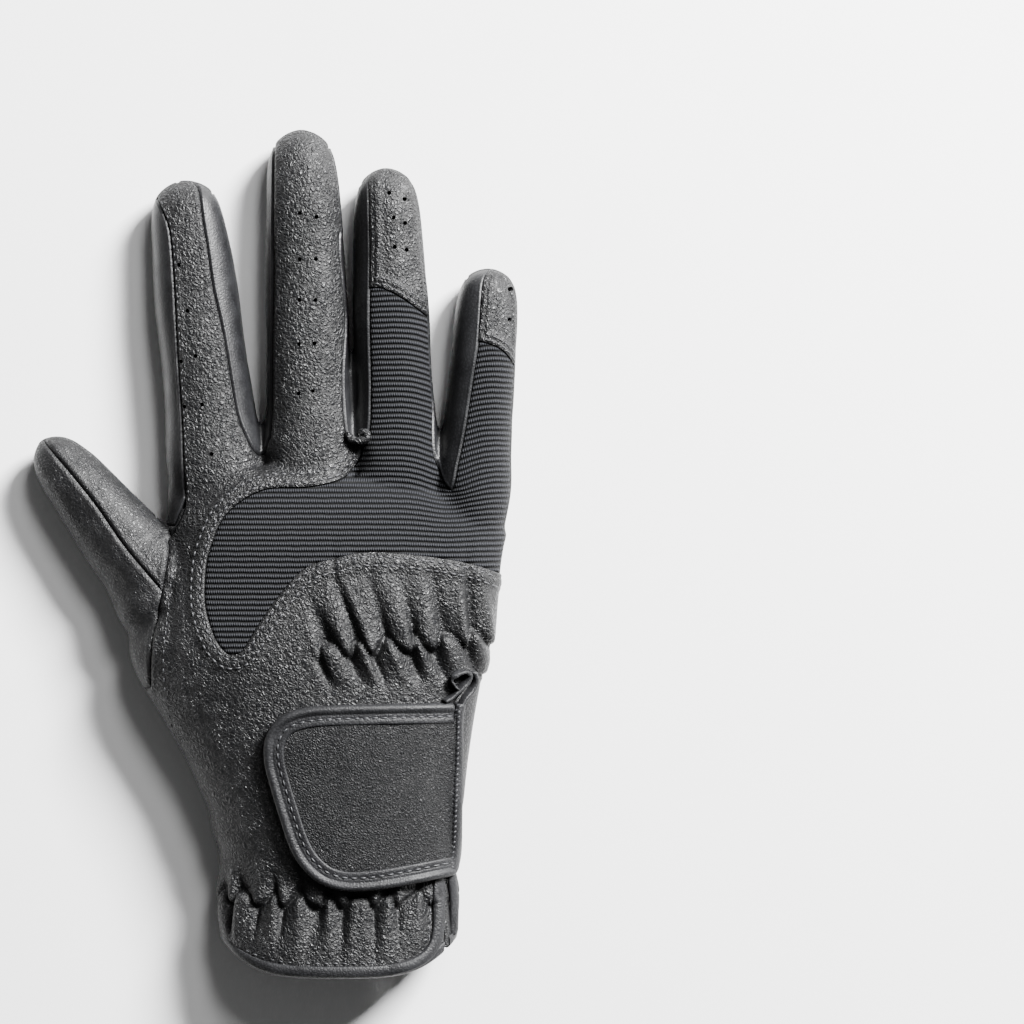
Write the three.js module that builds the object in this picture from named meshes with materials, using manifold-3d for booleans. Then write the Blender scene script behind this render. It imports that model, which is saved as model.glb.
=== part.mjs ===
// A right-hand riding glove of soft black leather with a ribbed elastic inset on its back, lying palm down.
// Millimetres. +Z is up through the back of the hand, +Y runs to the fingertips and the thumb is on the -X side.
// The origin is the middle of the palm, on the flat face that the glove rests on.
// Each leather or elastic panel is a curved wall of its own, parted from the next one by a narrow seam gap.
import * as THREE from "three";
import { mergeVertices } from "three/addons/utils/BufferGeometryUtils.js";
import Module from "manifold-3d";

const wasm = await Module();
wasm.setup();

// Main sizes of the glove.
const HAND_LENGTH = 143; // hem to the knuckle line
const PALM_WIDTH = 93; // across the knuckles
const PALM_THICKNESS = 28;
const FINGER_THICKNESS = 17;
const THUMB_LENGTH = 67.5;
const THUMB_WIDTH = 26;
const THUMB_THICKNESS = 18;
const THUMB_LEAN = 39.2; // degrees from the hand's own direction
const LEATHER = 1.4; // wall
const SOLE_PRESS = 0.6; // how far the soft underside is pressed flat where it rests
const SEAM_GAP = 0.3; // between neighbouring panels
const SEAM_HEIGHT = 9; // where the back meets the palm along the side of the hand
const WEB_MARGIN = 2.6; // how far a side strip reaches below its finger crotch
const WEB_WIDTH = 3.6; // of the strip there
const GATHER_DEPTH = 1.2;
const HOLE_WIDTH = 1.2; // of one ventilation hole
const HOLE_SIDES = 5;

// The closure tab and the bound edges.
const TAB_THICKNESS = 2.2;
const TAPE_WIDTH = 2.6; // of the tape that binds an edge
const TAPE_LIFT = 0.6; // how far the tape stands over the leather that it binds
const LOOP_TAPE = 1.1; // thickness of the tape where it turns in a loop
const LOOP_LENGTH = 6.2;
const LOOP_WIDTH = 4.6;
const VENT_FOOT = 14; // the lowest that the vent's ridge comes down the side of the hand
const LOOP_LEAN = 40; // degrees, of the loop's long way from +Y towards -X

// Where the origin lies, as a share of the hand's length from the hem.
const ORIGIN_SHARE = 0.678;
// The section's widest line, as a share of its height, and how square its upper and lower half are.
const EQUATOR_SHARE = 0.42;
const CROWN_POWER = 2.25;
const SOLE_POWER = 3.2;
const HEM_CURVE_POWER = 4;
// On the palm side the hem climbs towards the little finger; it's a share of HAND_LENGTH and fades out up the hand.
const PALM_HEM_CLIMB = 0.07;
const PALM_HEM_FADE = 0.3;

// Mesh fineness. The lining is never seen from near, so it's coarser than the outside.
const OUTSIDE_PALM = { crownSteps: 32, soleSteps: 12, rings: 15 };
const LINING_PALM = { crownSteps: 10, soleSteps: 4, rings: 7 };
const LAYER_PALM = { crownSteps: 20, soleSteps: 6, rings: 15 };
const LINING_FINGER = { crownSteps: 4, soleSteps: 3 };
const OUTSIDE_FINGER = { crownSteps: 8, soleSteps: 4 };

const SPLINE_STEPS = 2; // between two points of a drawn seam

// Lengths far past the glove, for the tools that cut it.
const FAR = 60;
const PAST_HEM = -30;

// The hand from hem to knuckles. thumbSide and littleSide are the section's ends, as shares of HAND_LENGTH from the hem;
// left and right are its half widths from the middle line, as shares of PALM_WIDTH; crown is its height, as a share of
// PALM_THICKNESS; sag is how far its middle hangs towards the hem, as a share of HAND_LENGTH.
const HAND_SECTIONS = [
  { thumbSide: 0.063, littleSide: 0.063, left: 0.332, right: 0.353, crown: 0.93, sag: 0.063 },
  { thumbSide: 0.105, littleSide: 0.105, left: 0.344, right: 0.36, crown: 0.93, sag: 0.035 },
  { thumbSide: 0.154, littleSide: 0.154, left: 0.344, right: 0.358, crown: 0.91, sag: 0.014 },
  { thumbSide: 0.217, littleSide: 0.217, left: 0.346, right: 0.35, crown: 0.93, sag: 0 },
  { thumbSide: 0.273, littleSide: 0.273, left: 0.37, right: 0.363, crown: 0.95, sag: 0 },
  { thumbSide: 0.329, littleSide: 0.329, left: 0.39, right: 0.378, crown: 0.965, sag: 0 },
  { thumbSide: 0.392, littleSide: 0.392, left: 0.428, right: 0.387, crown: 0.98, sag: 0 },
  { thumbSide: 0.448, littleSide: 0.448, left: 0.476, right: 0.4, crown: 1, sag: 0 },
  { thumbSide: 0.503, littleSide: 0.503, left: 0.53, right: 0.415, crown: 1, sag: 0 },
  { thumbSide: 0.566, littleSide: 0.566, left: 0.59, right: 0.434, crown: 1, sag: 0 },
  { thumbSide: 0.636, littleSide: 0.636, left: 0.615, right: 0.465, crown: 1, sag: 0 },
  { thumbSide: 0.713, littleSide: 0.713, left: 0.565, right: 0.48, crown: 0.98, sag: 0 },
  { thumbSide: 0.79, littleSide: 0.785, left: 0.511, right: 0.494, crown: 0.94, sag: 0 },
  { thumbSide: 0.865, littleSide: 0.83, left: 0.5, right: 0.505, crown: 0.84, sag: -0.02 },
  { thumbSide: 0.912, littleSide: 0.838, left: 0.5, right: 0.51, crown: 0.75, sag: -0.045 },
  { thumbSide: 0.936, littleSide: 0.845, left: 0.5, right: 0.51, crown: 0.66, sag: -0.058 },
  { thumbSide: 0.947, littleSide: 0.85, left: 0.48, right: 0.49, crown: 0.5, sag: -0.06 },
];

// The fingers. across is the base's place from the middle line and width the base's width, as shares of PALM_WIDTH;
// reach is the base's distance from the hem, as a share of HAND_LENGTH; length is in millimetres; lean is in degrees
// towards the thumb.
const FINGERS = [
  { name: "index", across: -0.36, reach: 0.992, width: 0.283, length: 77, lean: 6.9 },
  { name: "middle", across: -0.077, reach: 1.006, width: 0.268, length: 88.5, lean: 1.7 },
  { name: "ring", across: 0.182, reach: 0.986, width: 0.251, length: 81, lean: 2.3 },
  { name: "little", across: 0.405, reach: 0.934, width: 0.221, length: 60.6, lean: -4.6 },
];

// How every finger tapers: along is a share of its length from its base, width of its base width, height of
// FINGER_THICKNESS. Rows below zero are the root inside the hand.
const FINGER_PROFILE = [
  { along: -0.2, width: 0.95, height: 1.0 },
  { along: -0.06, width: 1.02, height: 1.05 },
  { along: 0.02, width: 1.03, height: 1.05 },
  { along: 0.15, width: 0.965, height: 1.03 },
  { along: 0.35, width: 0.92, height: 1.0 },
  { along: 0.6, width: 0.875, height: 0.96 },
  { along: 0.75, width: 0.84, height: 0.92 },
  { along: 0.85, width: 0.785, height: 0.86 },
  { along: 0.92, width: 0.69, height: 0.76 },
  { along: 0.965, width: 0.52, height: 0.58 },
  { along: 0.99, width: 0.29, height: 0.34 },
];

// The thumb from its root inside the hand to its tip, as shares of its own length, width and thickness.
const THUMB_PROFILE = [
  { along: -0.14, width: 0.8, height: 0.75 },
  { along: 0, width: 1.24, height: 1.0 },
  { along: 0.2, width: 1.12, height: 1.12 },
  { along: 0.39, width: 0.92, height: 1.06 },
  { along: 0.54, width: 0.83, height: 1.0 },
  { along: 0.7, width: 0.73, height: 0.93 },
  { along: 0.82, width: 0.64, height: 0.84 },
  { along: 0.91, width: 0.52, height: 0.7 },
  { along: 0.955, width: 0.4, height: 0.54 },
  { along: 0.985, width: 0.23, height: 0.33 },
];
const THUMB_ROOT = { across: -0.418, reach: 0.657 }; // shares of PALM_WIDTH and HAND_LENGTH

// Where the side strips meet the back and the palm: shares of the finger's half width, negative towards the thumb,
// at the base and at the tip. A share over 1 lies past the finger's side, where there is no strip.
const BACK_SEAMS = {
  index: { leftBase: -0.6, leftTip: -0.42, rightBase: 0.8, rightTip: 0.55 },
  middle: { leftBase: -0.83, leftTip: -0.74, rightBase: 0.78, rightTip: 0.82 },
  ring: { leftBase: -0.62, leftTip: -0.5, rightBase: 0.8, rightTip: 0.82 },
  little: { leftBase: -0.35, leftTip: -0.12, rightBase: 1.5, rightTip: 1.5 },
};
const PALM_SEAMS = {
  index: { leftBase: -0.12, leftTip: -0.12, rightBase: 0.8, rightTip: 0.78 },
  middle: { leftBase: -0.76, leftTip: -0.74, rightBase: 0.8, rightTip: 0.78 },
  ring: { leftBase: -0.8, leftTip: -0.78, rightBase: 0.8, rightTip: 0.78 },
  little: { leftBase: -0.78, leftTip: -0.76, rightBase: 1.5, rightTip: 1.5 },
};

// The finger crotches, and below them the seams drawn on the hand. across is a share of PALM_WIDTH from the middle line
// and reach a share of HAND_LENGTH from the hem.
const CROTCHES = [
  { name: "index_middle", across: -0.216, reach: 0.992 },
  { name: "middle_ring", across: 0.062, reach: 1.02 },
  { name: "ring_little", across: 0.338, reach: 0.93 },
];
const KNUCKLE_INSET = [
  { across: 0.062, reach: 1.006 },
  { across: 0.059, reach: 0.976 },
  { across: 0.018, reach: 0.95 },
  { across: -0.074, reach: 0.934 },
  { across: -0.197, reach: 0.93 },
  { across: -0.278, reach: 0.903 },
  { across: -0.34, reach: 0.856 },
  { across: -0.373, reach: 0.792 },
  { across: -0.378, reach: 0.731 },
  { across: -0.365, reach: 0.68 },
  { across: -0.335, reach: 0.636 },
  { across: -0.286, reach: 0.61 },
  { across: -0.248, reach: 0.638 },
  { across: -0.211, reach: 0.678 },
  { across: -0.148, reach: 0.735 },
  { across: -0.08, reach: 0.78 },
  { across: 0.03, reach: 0.803 },
  { across: 0.14, reach: 0.811 },
  { across: 0.318, reach: 0.797 },
  { across: 0.411, reach: 0.786 },
  { across: 0.5, reach: 0.766 },
];
const INDEX_SIDE_FOOT = [
  { across: -0.441, reach: 0.909 },
  { across: -0.458, reach: 0.871 },
  { across: -0.492, reach: 0.836 },
];
const THUMB_BACK_SEAM = [
  { across: -0.492, reach: 0.836 },
  { across: -0.509, reach: 0.727 },
  { across: -0.538, reach: 0.636 },
  { across: -0.544, reach: 0.555 },
];
const VENT = [
  { across: 0.392, reach: 0.572 },
  { across: 0.378, reach: 0.542 },
  { across: 0.352, reach: 0.515 },
  { across: 0.349, reach: 0.43 },
  { across: 0.337, reach: 0.3 },
  { across: 0.319, reach: 0.19 },
  { across: 0.325, reach: 0.12 },
  { across: 0.322, reach: 0.04 },
];
const THUMB_PALM_SEAM = [
  { across: -0.28, reach: 0.794 },
  { across: -0.175, reach: 0.735 },
  { across: -0.115, reach: 0.65 },
  { across: -0.097, reach: 0.553 },
  { across: -0.112, reach: 0.455 },
  { across: -0.18, reach: 0.36 },
  { across: -0.3, reach: 0.303 },
  { across: -0.42, reach: 0.285 },
];
const THUMB_POCKET = [
  { across: -0.355, reach: 0.888 },
  { across: -0.29, reach: 0.783 },
  { across: -0.32, reach: 0.7 },
  { across: -0.387, reach: 0.652 },
  { across: -0.465, reach: 0.685 },
  { across: -0.5, reach: 0.77 },
];
const TAB_OUTLINE = [
  { across: 0.33, reach: 0.521 },
  { across: 0.141, reach: 0.521 },
  { across: -0.068, reach: 0.516 },
  { across: -0.16, reach: 0.495 },
  { across: -0.2, reach: 0.448 },
  { across: -0.196, reach: 0.406 },
  { across: -0.167, reach: 0.335 },
  { across: -0.133, reach: 0.265 },
  { across: -0.088, reach: 0.21 },
  { across: -0.02, reach: 0.175 },
  { across: 0.058, reach: 0.166 },
  { across: 0.141, reach: 0.168 },
  { across: 0.224, reach: 0.176 },
  { across: 0.322, reach: 0.19 },
];

// The caps on two fingertips end at these lines: side is a share of the half width, along of the finger's length.
const CAP_LINES = {
  ring: [
    { side: -1.4, along: 0.58 },
    { side: -0.1, along: 0.585 },
    { side: 0.35, along: 0.55 },
    { side: 1.4, along: 0.47 },
  ],
  little: [
    { side: -1.4, along: 0.665 },
    { side: 0, along: 0.655 },
    { side: 0.58, along: 0.62 },
    { side: 1.4, along: 0.5 },
  ],
};

// Ventilation holes: along is a share of the finger's length, sides are shares of its half width.
const HOLES = [
  { finger: "index", sides: [-0.11], alongs: [0.02, 0.19, 0.365, 0.53, 0.69] },
  { finger: "index", sides: [-0.42], alongs: [0.19, 0.35] },
  { finger: "middle", sides: [-0.08, 0.34], alongs: [0.175, 0.33, 0.465, 0.592, 0.735] },
  { finger: "ring", sides: [0.16, 0.54], alongs: [0.715, 0.81, 0.89] },
  { finger: "little", sides: [0.66], alongs: [0.76, 0.89] },
];

// Gathers and creases: each is a valley from one point to another, with its half width and depth in millimetres.
// The two gathered rows on the back repeat at an even pitch.
const PATCH_GATHERS = { count: 7, from: -0.03, pitch: 0.074, line: 0.615 };
const PATCH_FOLDS = [
  { startAcross: 0.02, startReach: 0.012, endAcross: -0.06, endReach: 0.105, halfWidth: 1.7, depth: 1 },
  { startAcross: 0.03, startReach: -0.012, endAcross: 0.075, endReach: -0.075, halfWidth: 1.6, depth: 0.85 },
];
const CUFF_GATHERS = { count: 7, from: -0.27, pitch: 0.091, line: 0.155 };
const CUFF_FOLDS = [
  { startAcross: 0, startReach: -0.012, endAcross: 0.012, endReach: -0.095, halfWidth: 1.9, depth: 1 },
  { startAcross: 0.01, startReach: 0.012, endAcross: 0.002, endReach: 0.055, halfWidth: 1.6, depth: 0.7 },
];
const PALM_CREASES = [
  { startAcross: 0.338, startReach: 0.92, endAcross: 0.25, endReach: 0.885, halfWidth: 2.2, depth: 1.1 },
  { startAcross: 0.338, startReach: 0.92, endAcross: 0.32, endReach: 0.83, halfWidth: 2.2, depth: 1.2 },
  { startAcross: 0.062, startReach: 1.0, endAcross: 0.03, endReach: 0.9, halfWidth: 2.4, depth: 1.1 },
  { startAcross: 0.062, startReach: 1.0, endAcross: 0.16, endReach: 0.9, halfWidth: 2.4, depth: 0.9 },
  { startAcross: -0.216, startReach: 0.975, endAcross: -0.2, endReach: 0.88, halfWidth: 2.4, depth: 1.1 },
  { startAcross: -0.25, startReach: 0.78, endAcross: -0.2, endReach: 0.6, halfWidth: 3.2, depth: 1 },
  { startAcross: 0.3, startReach: 0.42, endAcross: 0, endReach: 0.33, halfWidth: 4, depth: 0.9 },
];

const handPoint = ({ across, reach }) =>
  new THREE.Vector2(across * PALM_WIDTH, (reach - ORIGIN_SHARE) * HAND_LENGTH);

// A value between table rows, on a smooth curve through them.
function smooth(before, from, to, after, share) {
  const slopeFrom = (to - before) / 2;
  const slopeTo = (after - from) / 2;
  const square = share * share;
  const cube = square * share;
  return (
    (2 * cube - 3 * square + 1) * from +
    (cube - 2 * square + share) * slopeFrom +
    (3 * square - 2 * cube) * to +
    (cube - square) * slopeTo
  );
}

// One row of a table at a place counted in rows, such as 3.5 for halfway between the fourth row and the fifth.
function rowAt(table, place) {
  const index = Math.min(Math.floor(place), table.length - 2);
  const neighbours = [index - 1, index, index + 1, index + 2].map(
    (at) => table[THREE.MathUtils.clamp(at, 0, table.length - 1)],
  );
  return Object.fromEntries(
    Object.keys(table[0]).map((key) => [
      key,
      smooth(...neighbours.map((row) => row[key]), place - index),
    ]),
  );
}

// The same, at a value of one of the table's rising columns.
function rowAtColumn(table, column, value) {
  let index = 0;
  while (index < table.length - 2 && table[index + 1][column] < value) index += 1;
  const [low, high] = [table[index][column], table[index + 1][column]];
  return rowAt(table, index + THREE.MathUtils.clamp((value - low) / (high - low), 0, 1));
}

// How deep the gathers and creases are at a point of the hand's back or palm.
function valley(point, fold, deepest) {
  const start = handPoint({ across: fold.startAcross, reach: fold.startReach });
  const end = handPoint({ across: fold.endAcross, reach: fold.endReach });
  const way = end.clone().sub(start);
  const along = point.clone().sub(start).dot(way) / way.lengthSq();
  const foot = start.clone().addScaledVector(way, THREE.MathUtils.clamp(along, 0, 1));
  const aside = point.distanceTo(foot) / fold.halfWidth;
  const fade = 1 - 0.6 * THREE.MathUtils.clamp(along, 0, 1);
  return deepest * fold.depth * fade * Math.exp(-aside * aside);
}

function gathered(row, folds) {
  const made = [];
  for (let copy = 0; copy < row.count; copy += 1) {
    const across = row.from + copy * row.pitch;
    for (const fold of folds) {
      made.push({
        ...fold,
        startAcross: across + fold.startAcross,
        endAcross: across + fold.endAcross,
        startReach: row.line + fold.startReach,
        endReach: row.line + fold.endReach,
      });
    }
  }
  return made;
}

const CUFF_VALLEYS = gathered(CUFF_GATHERS, CUFF_FOLDS);
const BACK_VALLEYS = [...gathered(PATCH_GATHERS, PATCH_FOLDS), ...CUFF_VALLEYS];
const PALM_VALLEYS = [...PALM_CREASES, ...CUFF_VALLEYS];

function reliefAt(point, isBack) {
  const flat = new THREE.Vector2(point.x, point.y);
  const valleys = isBack ? BACK_VALLEYS : PALM_VALLEYS;
  return Math.max(...valleys.map((fold) => valley(flat, fold, GATHER_DEPTH)));
}

// Half of a section's outline, evenly spaced along its length: pairs of a sideways and an upright share.
function halfSection(power, steps) {
  const FINE = 200;
  const fine = [];
  for (let i = 0; i <= FINE; i += 1) {
    const angle = (Math.PI * i) / FINE;
    const cosine = Math.cos(angle);
    const side = Math.sign(cosine) * Math.abs(cosine) ** (2 / power);
    fine.push(new THREE.Vector2(side, Math.abs(Math.sin(angle)) ** (2 / power)));
  }
  return (halfWidth, height) => {
    const path = new THREE.Path();
    path.setFromPoints(fine.map((p) => new THREE.Vector2(p.x * halfWidth, p.y * height)));
    return path.getSpacedPoints(steps);
  };
}

// A closed ring of points. frame gives the middle, the half width, the top and bottom and the way sideways.
function ringOf(frame, crownSteps, soleSteps, place) {
  const height = frame.top - frame.bottom;
  const equator = frame.bottom + EQUATOR_SHARE * height;
  const crown = halfSection(CROWN_POWER, crownSteps)(frame.halfWidth, frame.top - equator);
  const sole = halfSection(SOLE_POWER, soleSteps)(frame.halfWidth, equator - frame.bottom);
  const over = crown.slice(0, -1).map((p) => place(p.x, equator + p.y, p.y / (frame.top - equator)));
  const under = sole
    .slice(1)
    .reverse()
    .map((p) => place(p.x, equator - p.y, -p.y / (equator - frame.bottom)));
  return [...over, ...under];
}

// A closed solid through rings of equal count, with a flat or pointed cap at both ends.
function loft(rings, firstPoint, lastPoint) {
  const count = rings[0].length;
  const positions = [];
  const push = (...points) => points.forEach((p) => positions.push(p.x, p.y, p.z));
  for (let r = 0; r + 1 < rings.length; r += 1) {
    for (let i = 0; i < count; i += 1) {
      const next = (i + 1) % count;
      push(rings[r][i], rings[r + 1][next], rings[r][next]);
      push(rings[r][i], rings[r + 1][i], rings[r + 1][next]);
    }
  }
  const last = rings[rings.length - 1];
  for (let i = 0; i < count; i += 1) {
    const next = (i + 1) % count;
    push(firstPoint, rings[0][i], rings[0][next]);
    push(lastPoint, last[next], last[i]);
  }
  const geometry = new THREE.BufferGeometry();
  geometry.setAttribute("position", new THREE.Float32BufferAttribute(positions, 3));
  return solidOf(geometry);
}

function solidOf(geometry) {
  const bare = geometry.index ? geometry.toNonIndexed() : geometry.clone();
  bare.deleteAttribute("normal");
  bare.deleteAttribute("uv");
  const merged = mergeVertices(bare, 1e-4);
  const mesh = new wasm.Mesh({
    numProp: 3,
    vertProperties: new Float32Array(merged.attributes.position.array),
    triVerts: new Uint32Array(merged.index.array),
  });
  return new wasm.Manifold(mesh);
}

const middleOf = (points) =>
  points
    .reduce((sum, p) => sum.add(p), new THREE.Vector3())
    .divideScalar(points.length);

// One ring of points round the hand at a row of the table, grown outwards by a distance, or shrunk by a negative one.
// The lining's ring is drawn in further where the leather is gathered.
function handRing(section, { grown, isLining, hasRelief, fineness, shift }) {
  const knuckleShare = THREE.MathUtils.smoothstep(section.thumbSide, 0.8, 0.95);
  const left = -section.left * PALM_WIDTH - grown;
  const right = section.right * PALM_WIDTH + grown;
  const centre = (left + right) / 2;
  const drop = isLining ? liningDrop(section) : 0;
  const press = isLining ? 0 : SOLE_PRESS;
  const frame = {
    halfWidth: (right - left) / 2,
    top: section.crown * PALM_THICKNESS + grown - drop,
    bottom: drop - press - grown,
  };
  const place = (side, z, upright) => {
    const u = side / frame.halfWidth;
    const lengthwise = THREE.MathUtils.lerp(section.thumbSide, section.littleSide, (u + 1) / 2);
    const sag = section.sag * (1 - Math.abs(u) ** HEM_CURVE_POWER);
    const climb = hemClimb(section.thumbSide, u) * Math.max(0, -upright);
    const reach = (lengthwise - sag + climb - ORIGIN_SHARE) * HAND_LENGTH;
    const point = new THREE.Vector3(centre + side, reach + grown * knuckleShare + shift, z);
    if (hasRelief) point.z -= upright * reliefAt(point, upright > 0);
    return point;
  };
  return ringOf(frame, fineness.crownSteps, fineness.soleSteps, place);
}

// The hand from hem to knuckles. start moves its first ring along the hand: the leather starts above the hem tape, and
// the lining starts past the hem, so that the cuff is open.
function handForm({ start, ...options }) {
  const rings = [];
  const count = options.fineness.rings;
  for (let i = 0; i <= count; i += 1) {
    const section = rowAt(HAND_SECTIONS, (i * (HAND_SECTIONS.length - 1)) / count);
    rings.push(handRing(section, { ...options, shift: i === 0 ? start : 0 }));
  }
  return loft(rings, middleOf(rings[0]), middleOf(rings[rings.length - 1]));
}

// A slice of the cuff between two distances up from the hem, curved as the hem is.
function hemSlice(grown, from, to) {
  const options = { grown, isLining: false, hasRelief: false, fineness: OUTSIDE_PALM };
  const rings = [from, to].map((shift) => handRing(HAND_SECTIONS[0], { ...options, shift }));
  return loft(rings, middleOf(rings[0]), middleOf(rings[1]));
}

function hemClimb(reach, across) {
  const fade = 1 - THREE.MathUtils.smoothstep(reach, HAND_SECTIONS[0].thumbSide, PALM_HEM_FADE);
  return PALM_HEM_CLIMB * fade * THREE.MathUtils.smoothstep(across, -0.6, 0.9);
}

// The lining stays clear of the gathers where the leather is gathered.
function liningDrop(section) {
  const cuff = 1 - THREE.MathUtils.smoothstep(section.thumbSide, 0.2, 0.26);
  const patch =
    THREE.MathUtils.smoothstep(section.thumbSide, 0.45, 0.55) *
    (1 - THREE.MathUtils.smoothstep(section.thumbSide, 0.72, 0.8));
  return GATHER_DEPTH * 0.6 * Math.max(cuff, patch);
}

// A finger's own frame: its base, its direction, the way across it and its half width along it.
function fingerFrame({ base, length, width, thickness, lean, profile }) {
  const angle = THREE.MathUtils.degToRad(lean);
  const way = new THREE.Vector2(-Math.sin(angle), Math.cos(angle));
  const across = new THREE.Vector2(Math.cos(angle), Math.sin(angle));
  const halfWidthAt = (along) =>
    (width / 2) * rowAtColumn(profile, "along", Math.min(along, 0.9)).width;
  const at = (along, side) =>
    base
      .clone()
      .addScaledVector(way, along * length)
      .addScaledVector(across, side * halfWidthAt(along));
  return { base, length, width, thickness, way, across, profile, at };
}

const fingers = Object.fromEntries(
  FINGERS.map((finger) => [
    finger.name,
    fingerFrame({
      base: handPoint(finger),
      length: finger.length,
      width: finger.width * PALM_WIDTH,
      thickness: FINGER_THICKNESS,
      lean: finger.lean,
      profile: FINGER_PROFILE,
    }),
  ]),
);
const thumb = fingerFrame({
  base: handPoint(THUMB_ROOT),
  length: THUMB_LENGTH,
  width: THUMB_WIDTH,
  thickness: THUMB_THICKNESS,
  lean: THUMB_LEAN,
  profile: THUMB_PROFILE,
});

// A finger or the thumb, grown outwards by a distance. Its tip is rounded on all sides, a little nearer the table than
// its back.
function fingerForm(finger, { grown, isLining }) {
  const rows = isLining ? finger.profile.filter((_, i) => i % 2 === 0) : finger.profile;
  const { crownSteps, soleSteps } = isLining ? LINING_FINGER : OUTSIDE_FINGER;
  const stretch = (finger.length + grown) / finger.length;
  const TIP_LIFT = 0.4;
  const tallest = finger.thickness;
  const rings = rows.map((row) => {
    const lift = Math.max(0, 1 - row.height) * TIP_LIFT * tallest;
    const frame = {
      halfWidth: (row.width * finger.width) / 2 + grown,
      top: lift + row.height * tallest + grown,
      bottom: lift - SOLE_PRESS - grown + (isLining ? SOLE_PRESS : 0),
    };
    const along = row.along > 0 ? row.along * stretch : row.along;
    const middle = finger.base.clone().addScaledVector(finger.way, along * finger.length);
    const place = (side, z) => {
      const flat = middle.clone().addScaledVector(finger.across, side);
      return new THREE.Vector3(flat.x, flat.y, z);
    };
    return ringOf(frame, crownSteps, soleSteps, place);
  });
  const end = finger.base.clone().addScaledVector(finger.way, stretch * finger.length);
  const lastMiddle = middleOf(rings[rings.length - 1]);
  return loft(rings, middleOf(rings[0]), new THREE.Vector3(end.x, end.y, lastMiddle.z));
}

function wholeForm(options) {
  const fineness = options.isLining ? LINING_PALM : OUTSIDE_PALM;
  const start = options.isLining ? PAST_HEM : TAPE_WIDTH + SEAM_GAP;
  const parts = [handForm({ ...options, fineness, start }), fingerForm(thumb, options)];
  for (const finger of Object.values(fingers)) parts.push(fingerForm(finger, options));
  return parts.reduce((sum, part) => sum.add(part));
}

// A tall prism over an outline drawn on the table.
function prism(outline, from = -FAR, to = FAR) {
  const shape = new THREE.Shape(outline);
  const geometry = new THREE.ExtrudeGeometry(shape, { depth: to - from, bevelEnabled: false });
  return solidOf(geometry.translate(0, 0, from));
}

// The outline moved outwards by a distance.
function grow(outline, distance) {
  const sign = THREE.ShapeUtils.isClockWise(outline) ? -1 : 1;
  return outline.map((point, i) => {
    const before = outline[(i + outline.length - 1) % outline.length];
    const after = outline[(i + 1) % outline.length];
    const arriving = point.clone().sub(before).normalize();
    const leaving = after.clone().sub(point).normalize();
    const tangent = arriving.add(leaving).normalize();
    return point.clone().add(new THREE.Vector2(tangent.y, -tangent.x).multiplyScalar(sign * distance));
  });
}

const drawn = (rows) =>
  new THREE.SplineCurve(rows.map(handPoint)).getPoints((rows.length - 1) * SPLINE_STEPS);
const corner = (across, reach) => handPoint({ across, reach });

// The outline of the strip between two seams of a finger, from just below its base to past its tip.
function fingerStrip(finger, seams) {
  const PAST_TIP = 1.12;
  const ROOT = -0.03;
  const stations = [ROOT, 0.15, 0.6, 0.85, PAST_TIP];
  const edge = (base, tip) =>
    stations.map((along) => {
      const share = THREE.MathUtils.clamp(along, 0, 1);
      return finger.at(along, THREE.MathUtils.lerp(base, tip, share));
    });
  const left = edge(seams.leftBase, seams.leftTip);
  const right = edge(seams.rightBase, seams.rightTip);
  return [...right, ...left.reverse()];
}

// The upper edge of a hand panel, from the little finger to the index: it crosses each finger between its two seams
// and dips under each crotch.
function knuckleEdge(seams) {
  const points = [];
  const order = ["little", "ring", "middle", "index"];
  const dips = [...CROTCHES].reverse();
  order.forEach((name, i) => {
    points.push(fingers[name].at(0, seams[name].rightBase), fingers[name].at(0, seams[name].leftBase));
    if (i < dips.length) {
      const foot = handPoint(dips[i]);
      points.push(new THREE.Vector2(foot.x + WEB_WIDTH / 2, foot.y - WEB_MARGIN));
      points.push(new THREE.Vector2(foot.x - WEB_WIDTH / 2, foot.y - WEB_MARGIN));
    }
  });
  return points;
}

// The leather is folded solid at each crotch, so the hollow stays clear of it.
const crotchFolds = CROTCHES.map((crotch) => {
  const { x, y } = handPoint(crotch);
  const across = WEB_WIDTH + 2 * LEATHER;
  const along = WEB_MARGIN + 2 * LEATHER;
  return solidOf(new THREE.BoxGeometry(across, along, FAR).translate(x, y - WEB_MARGIN / 2, 0));
});

// Panels are cut from the wall one after another. Each cut leaves a seam gap before the next.
let wall = wholeForm({ grown: 0, isLining: false, hasRelief: true });
const hollow = wholeForm({ grown: -LEATHER, isLining: true, hasRelief: false });
wall = wall.subtract(crotchFolds.reduce((rest, fold) => rest.subtract(fold), hollow));
const table = solidOf(new THREE.BoxGeometry(8 * FAR, 8 * FAR, FAR).translate(0, 0, -FAR / 2));
wall = wall.subtract(table);

function largest(solid) {
  return solid.decompose().sort((a, b) => b.volume() - a.volume())[0];
}

const plainHand = (grown, isLining, fineness) =>
  handForm({ grown, isLining, hasRelief: false, fineness, start: isLining ? PAST_HEM : 0 });

const pieces = {};
function cutPanel(name, regions) {
  const tool = regions.map((r) => prism(r.outline, r.from, r.to));
  const kerf = regions.map((r) =>
    prism(grow(r.outline, SEAM_GAP), (r.from ?? -FAR) - SEAM_GAP, (r.to ?? FAR) + SEAM_GAP),
  );
  pieces[name] = largest(wall.intersect(tool.reduce((sum, t) => sum.add(t))));
  wall = wall.subtract(kerf.reduce((sum, k) => sum.add(k)));
}

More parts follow.
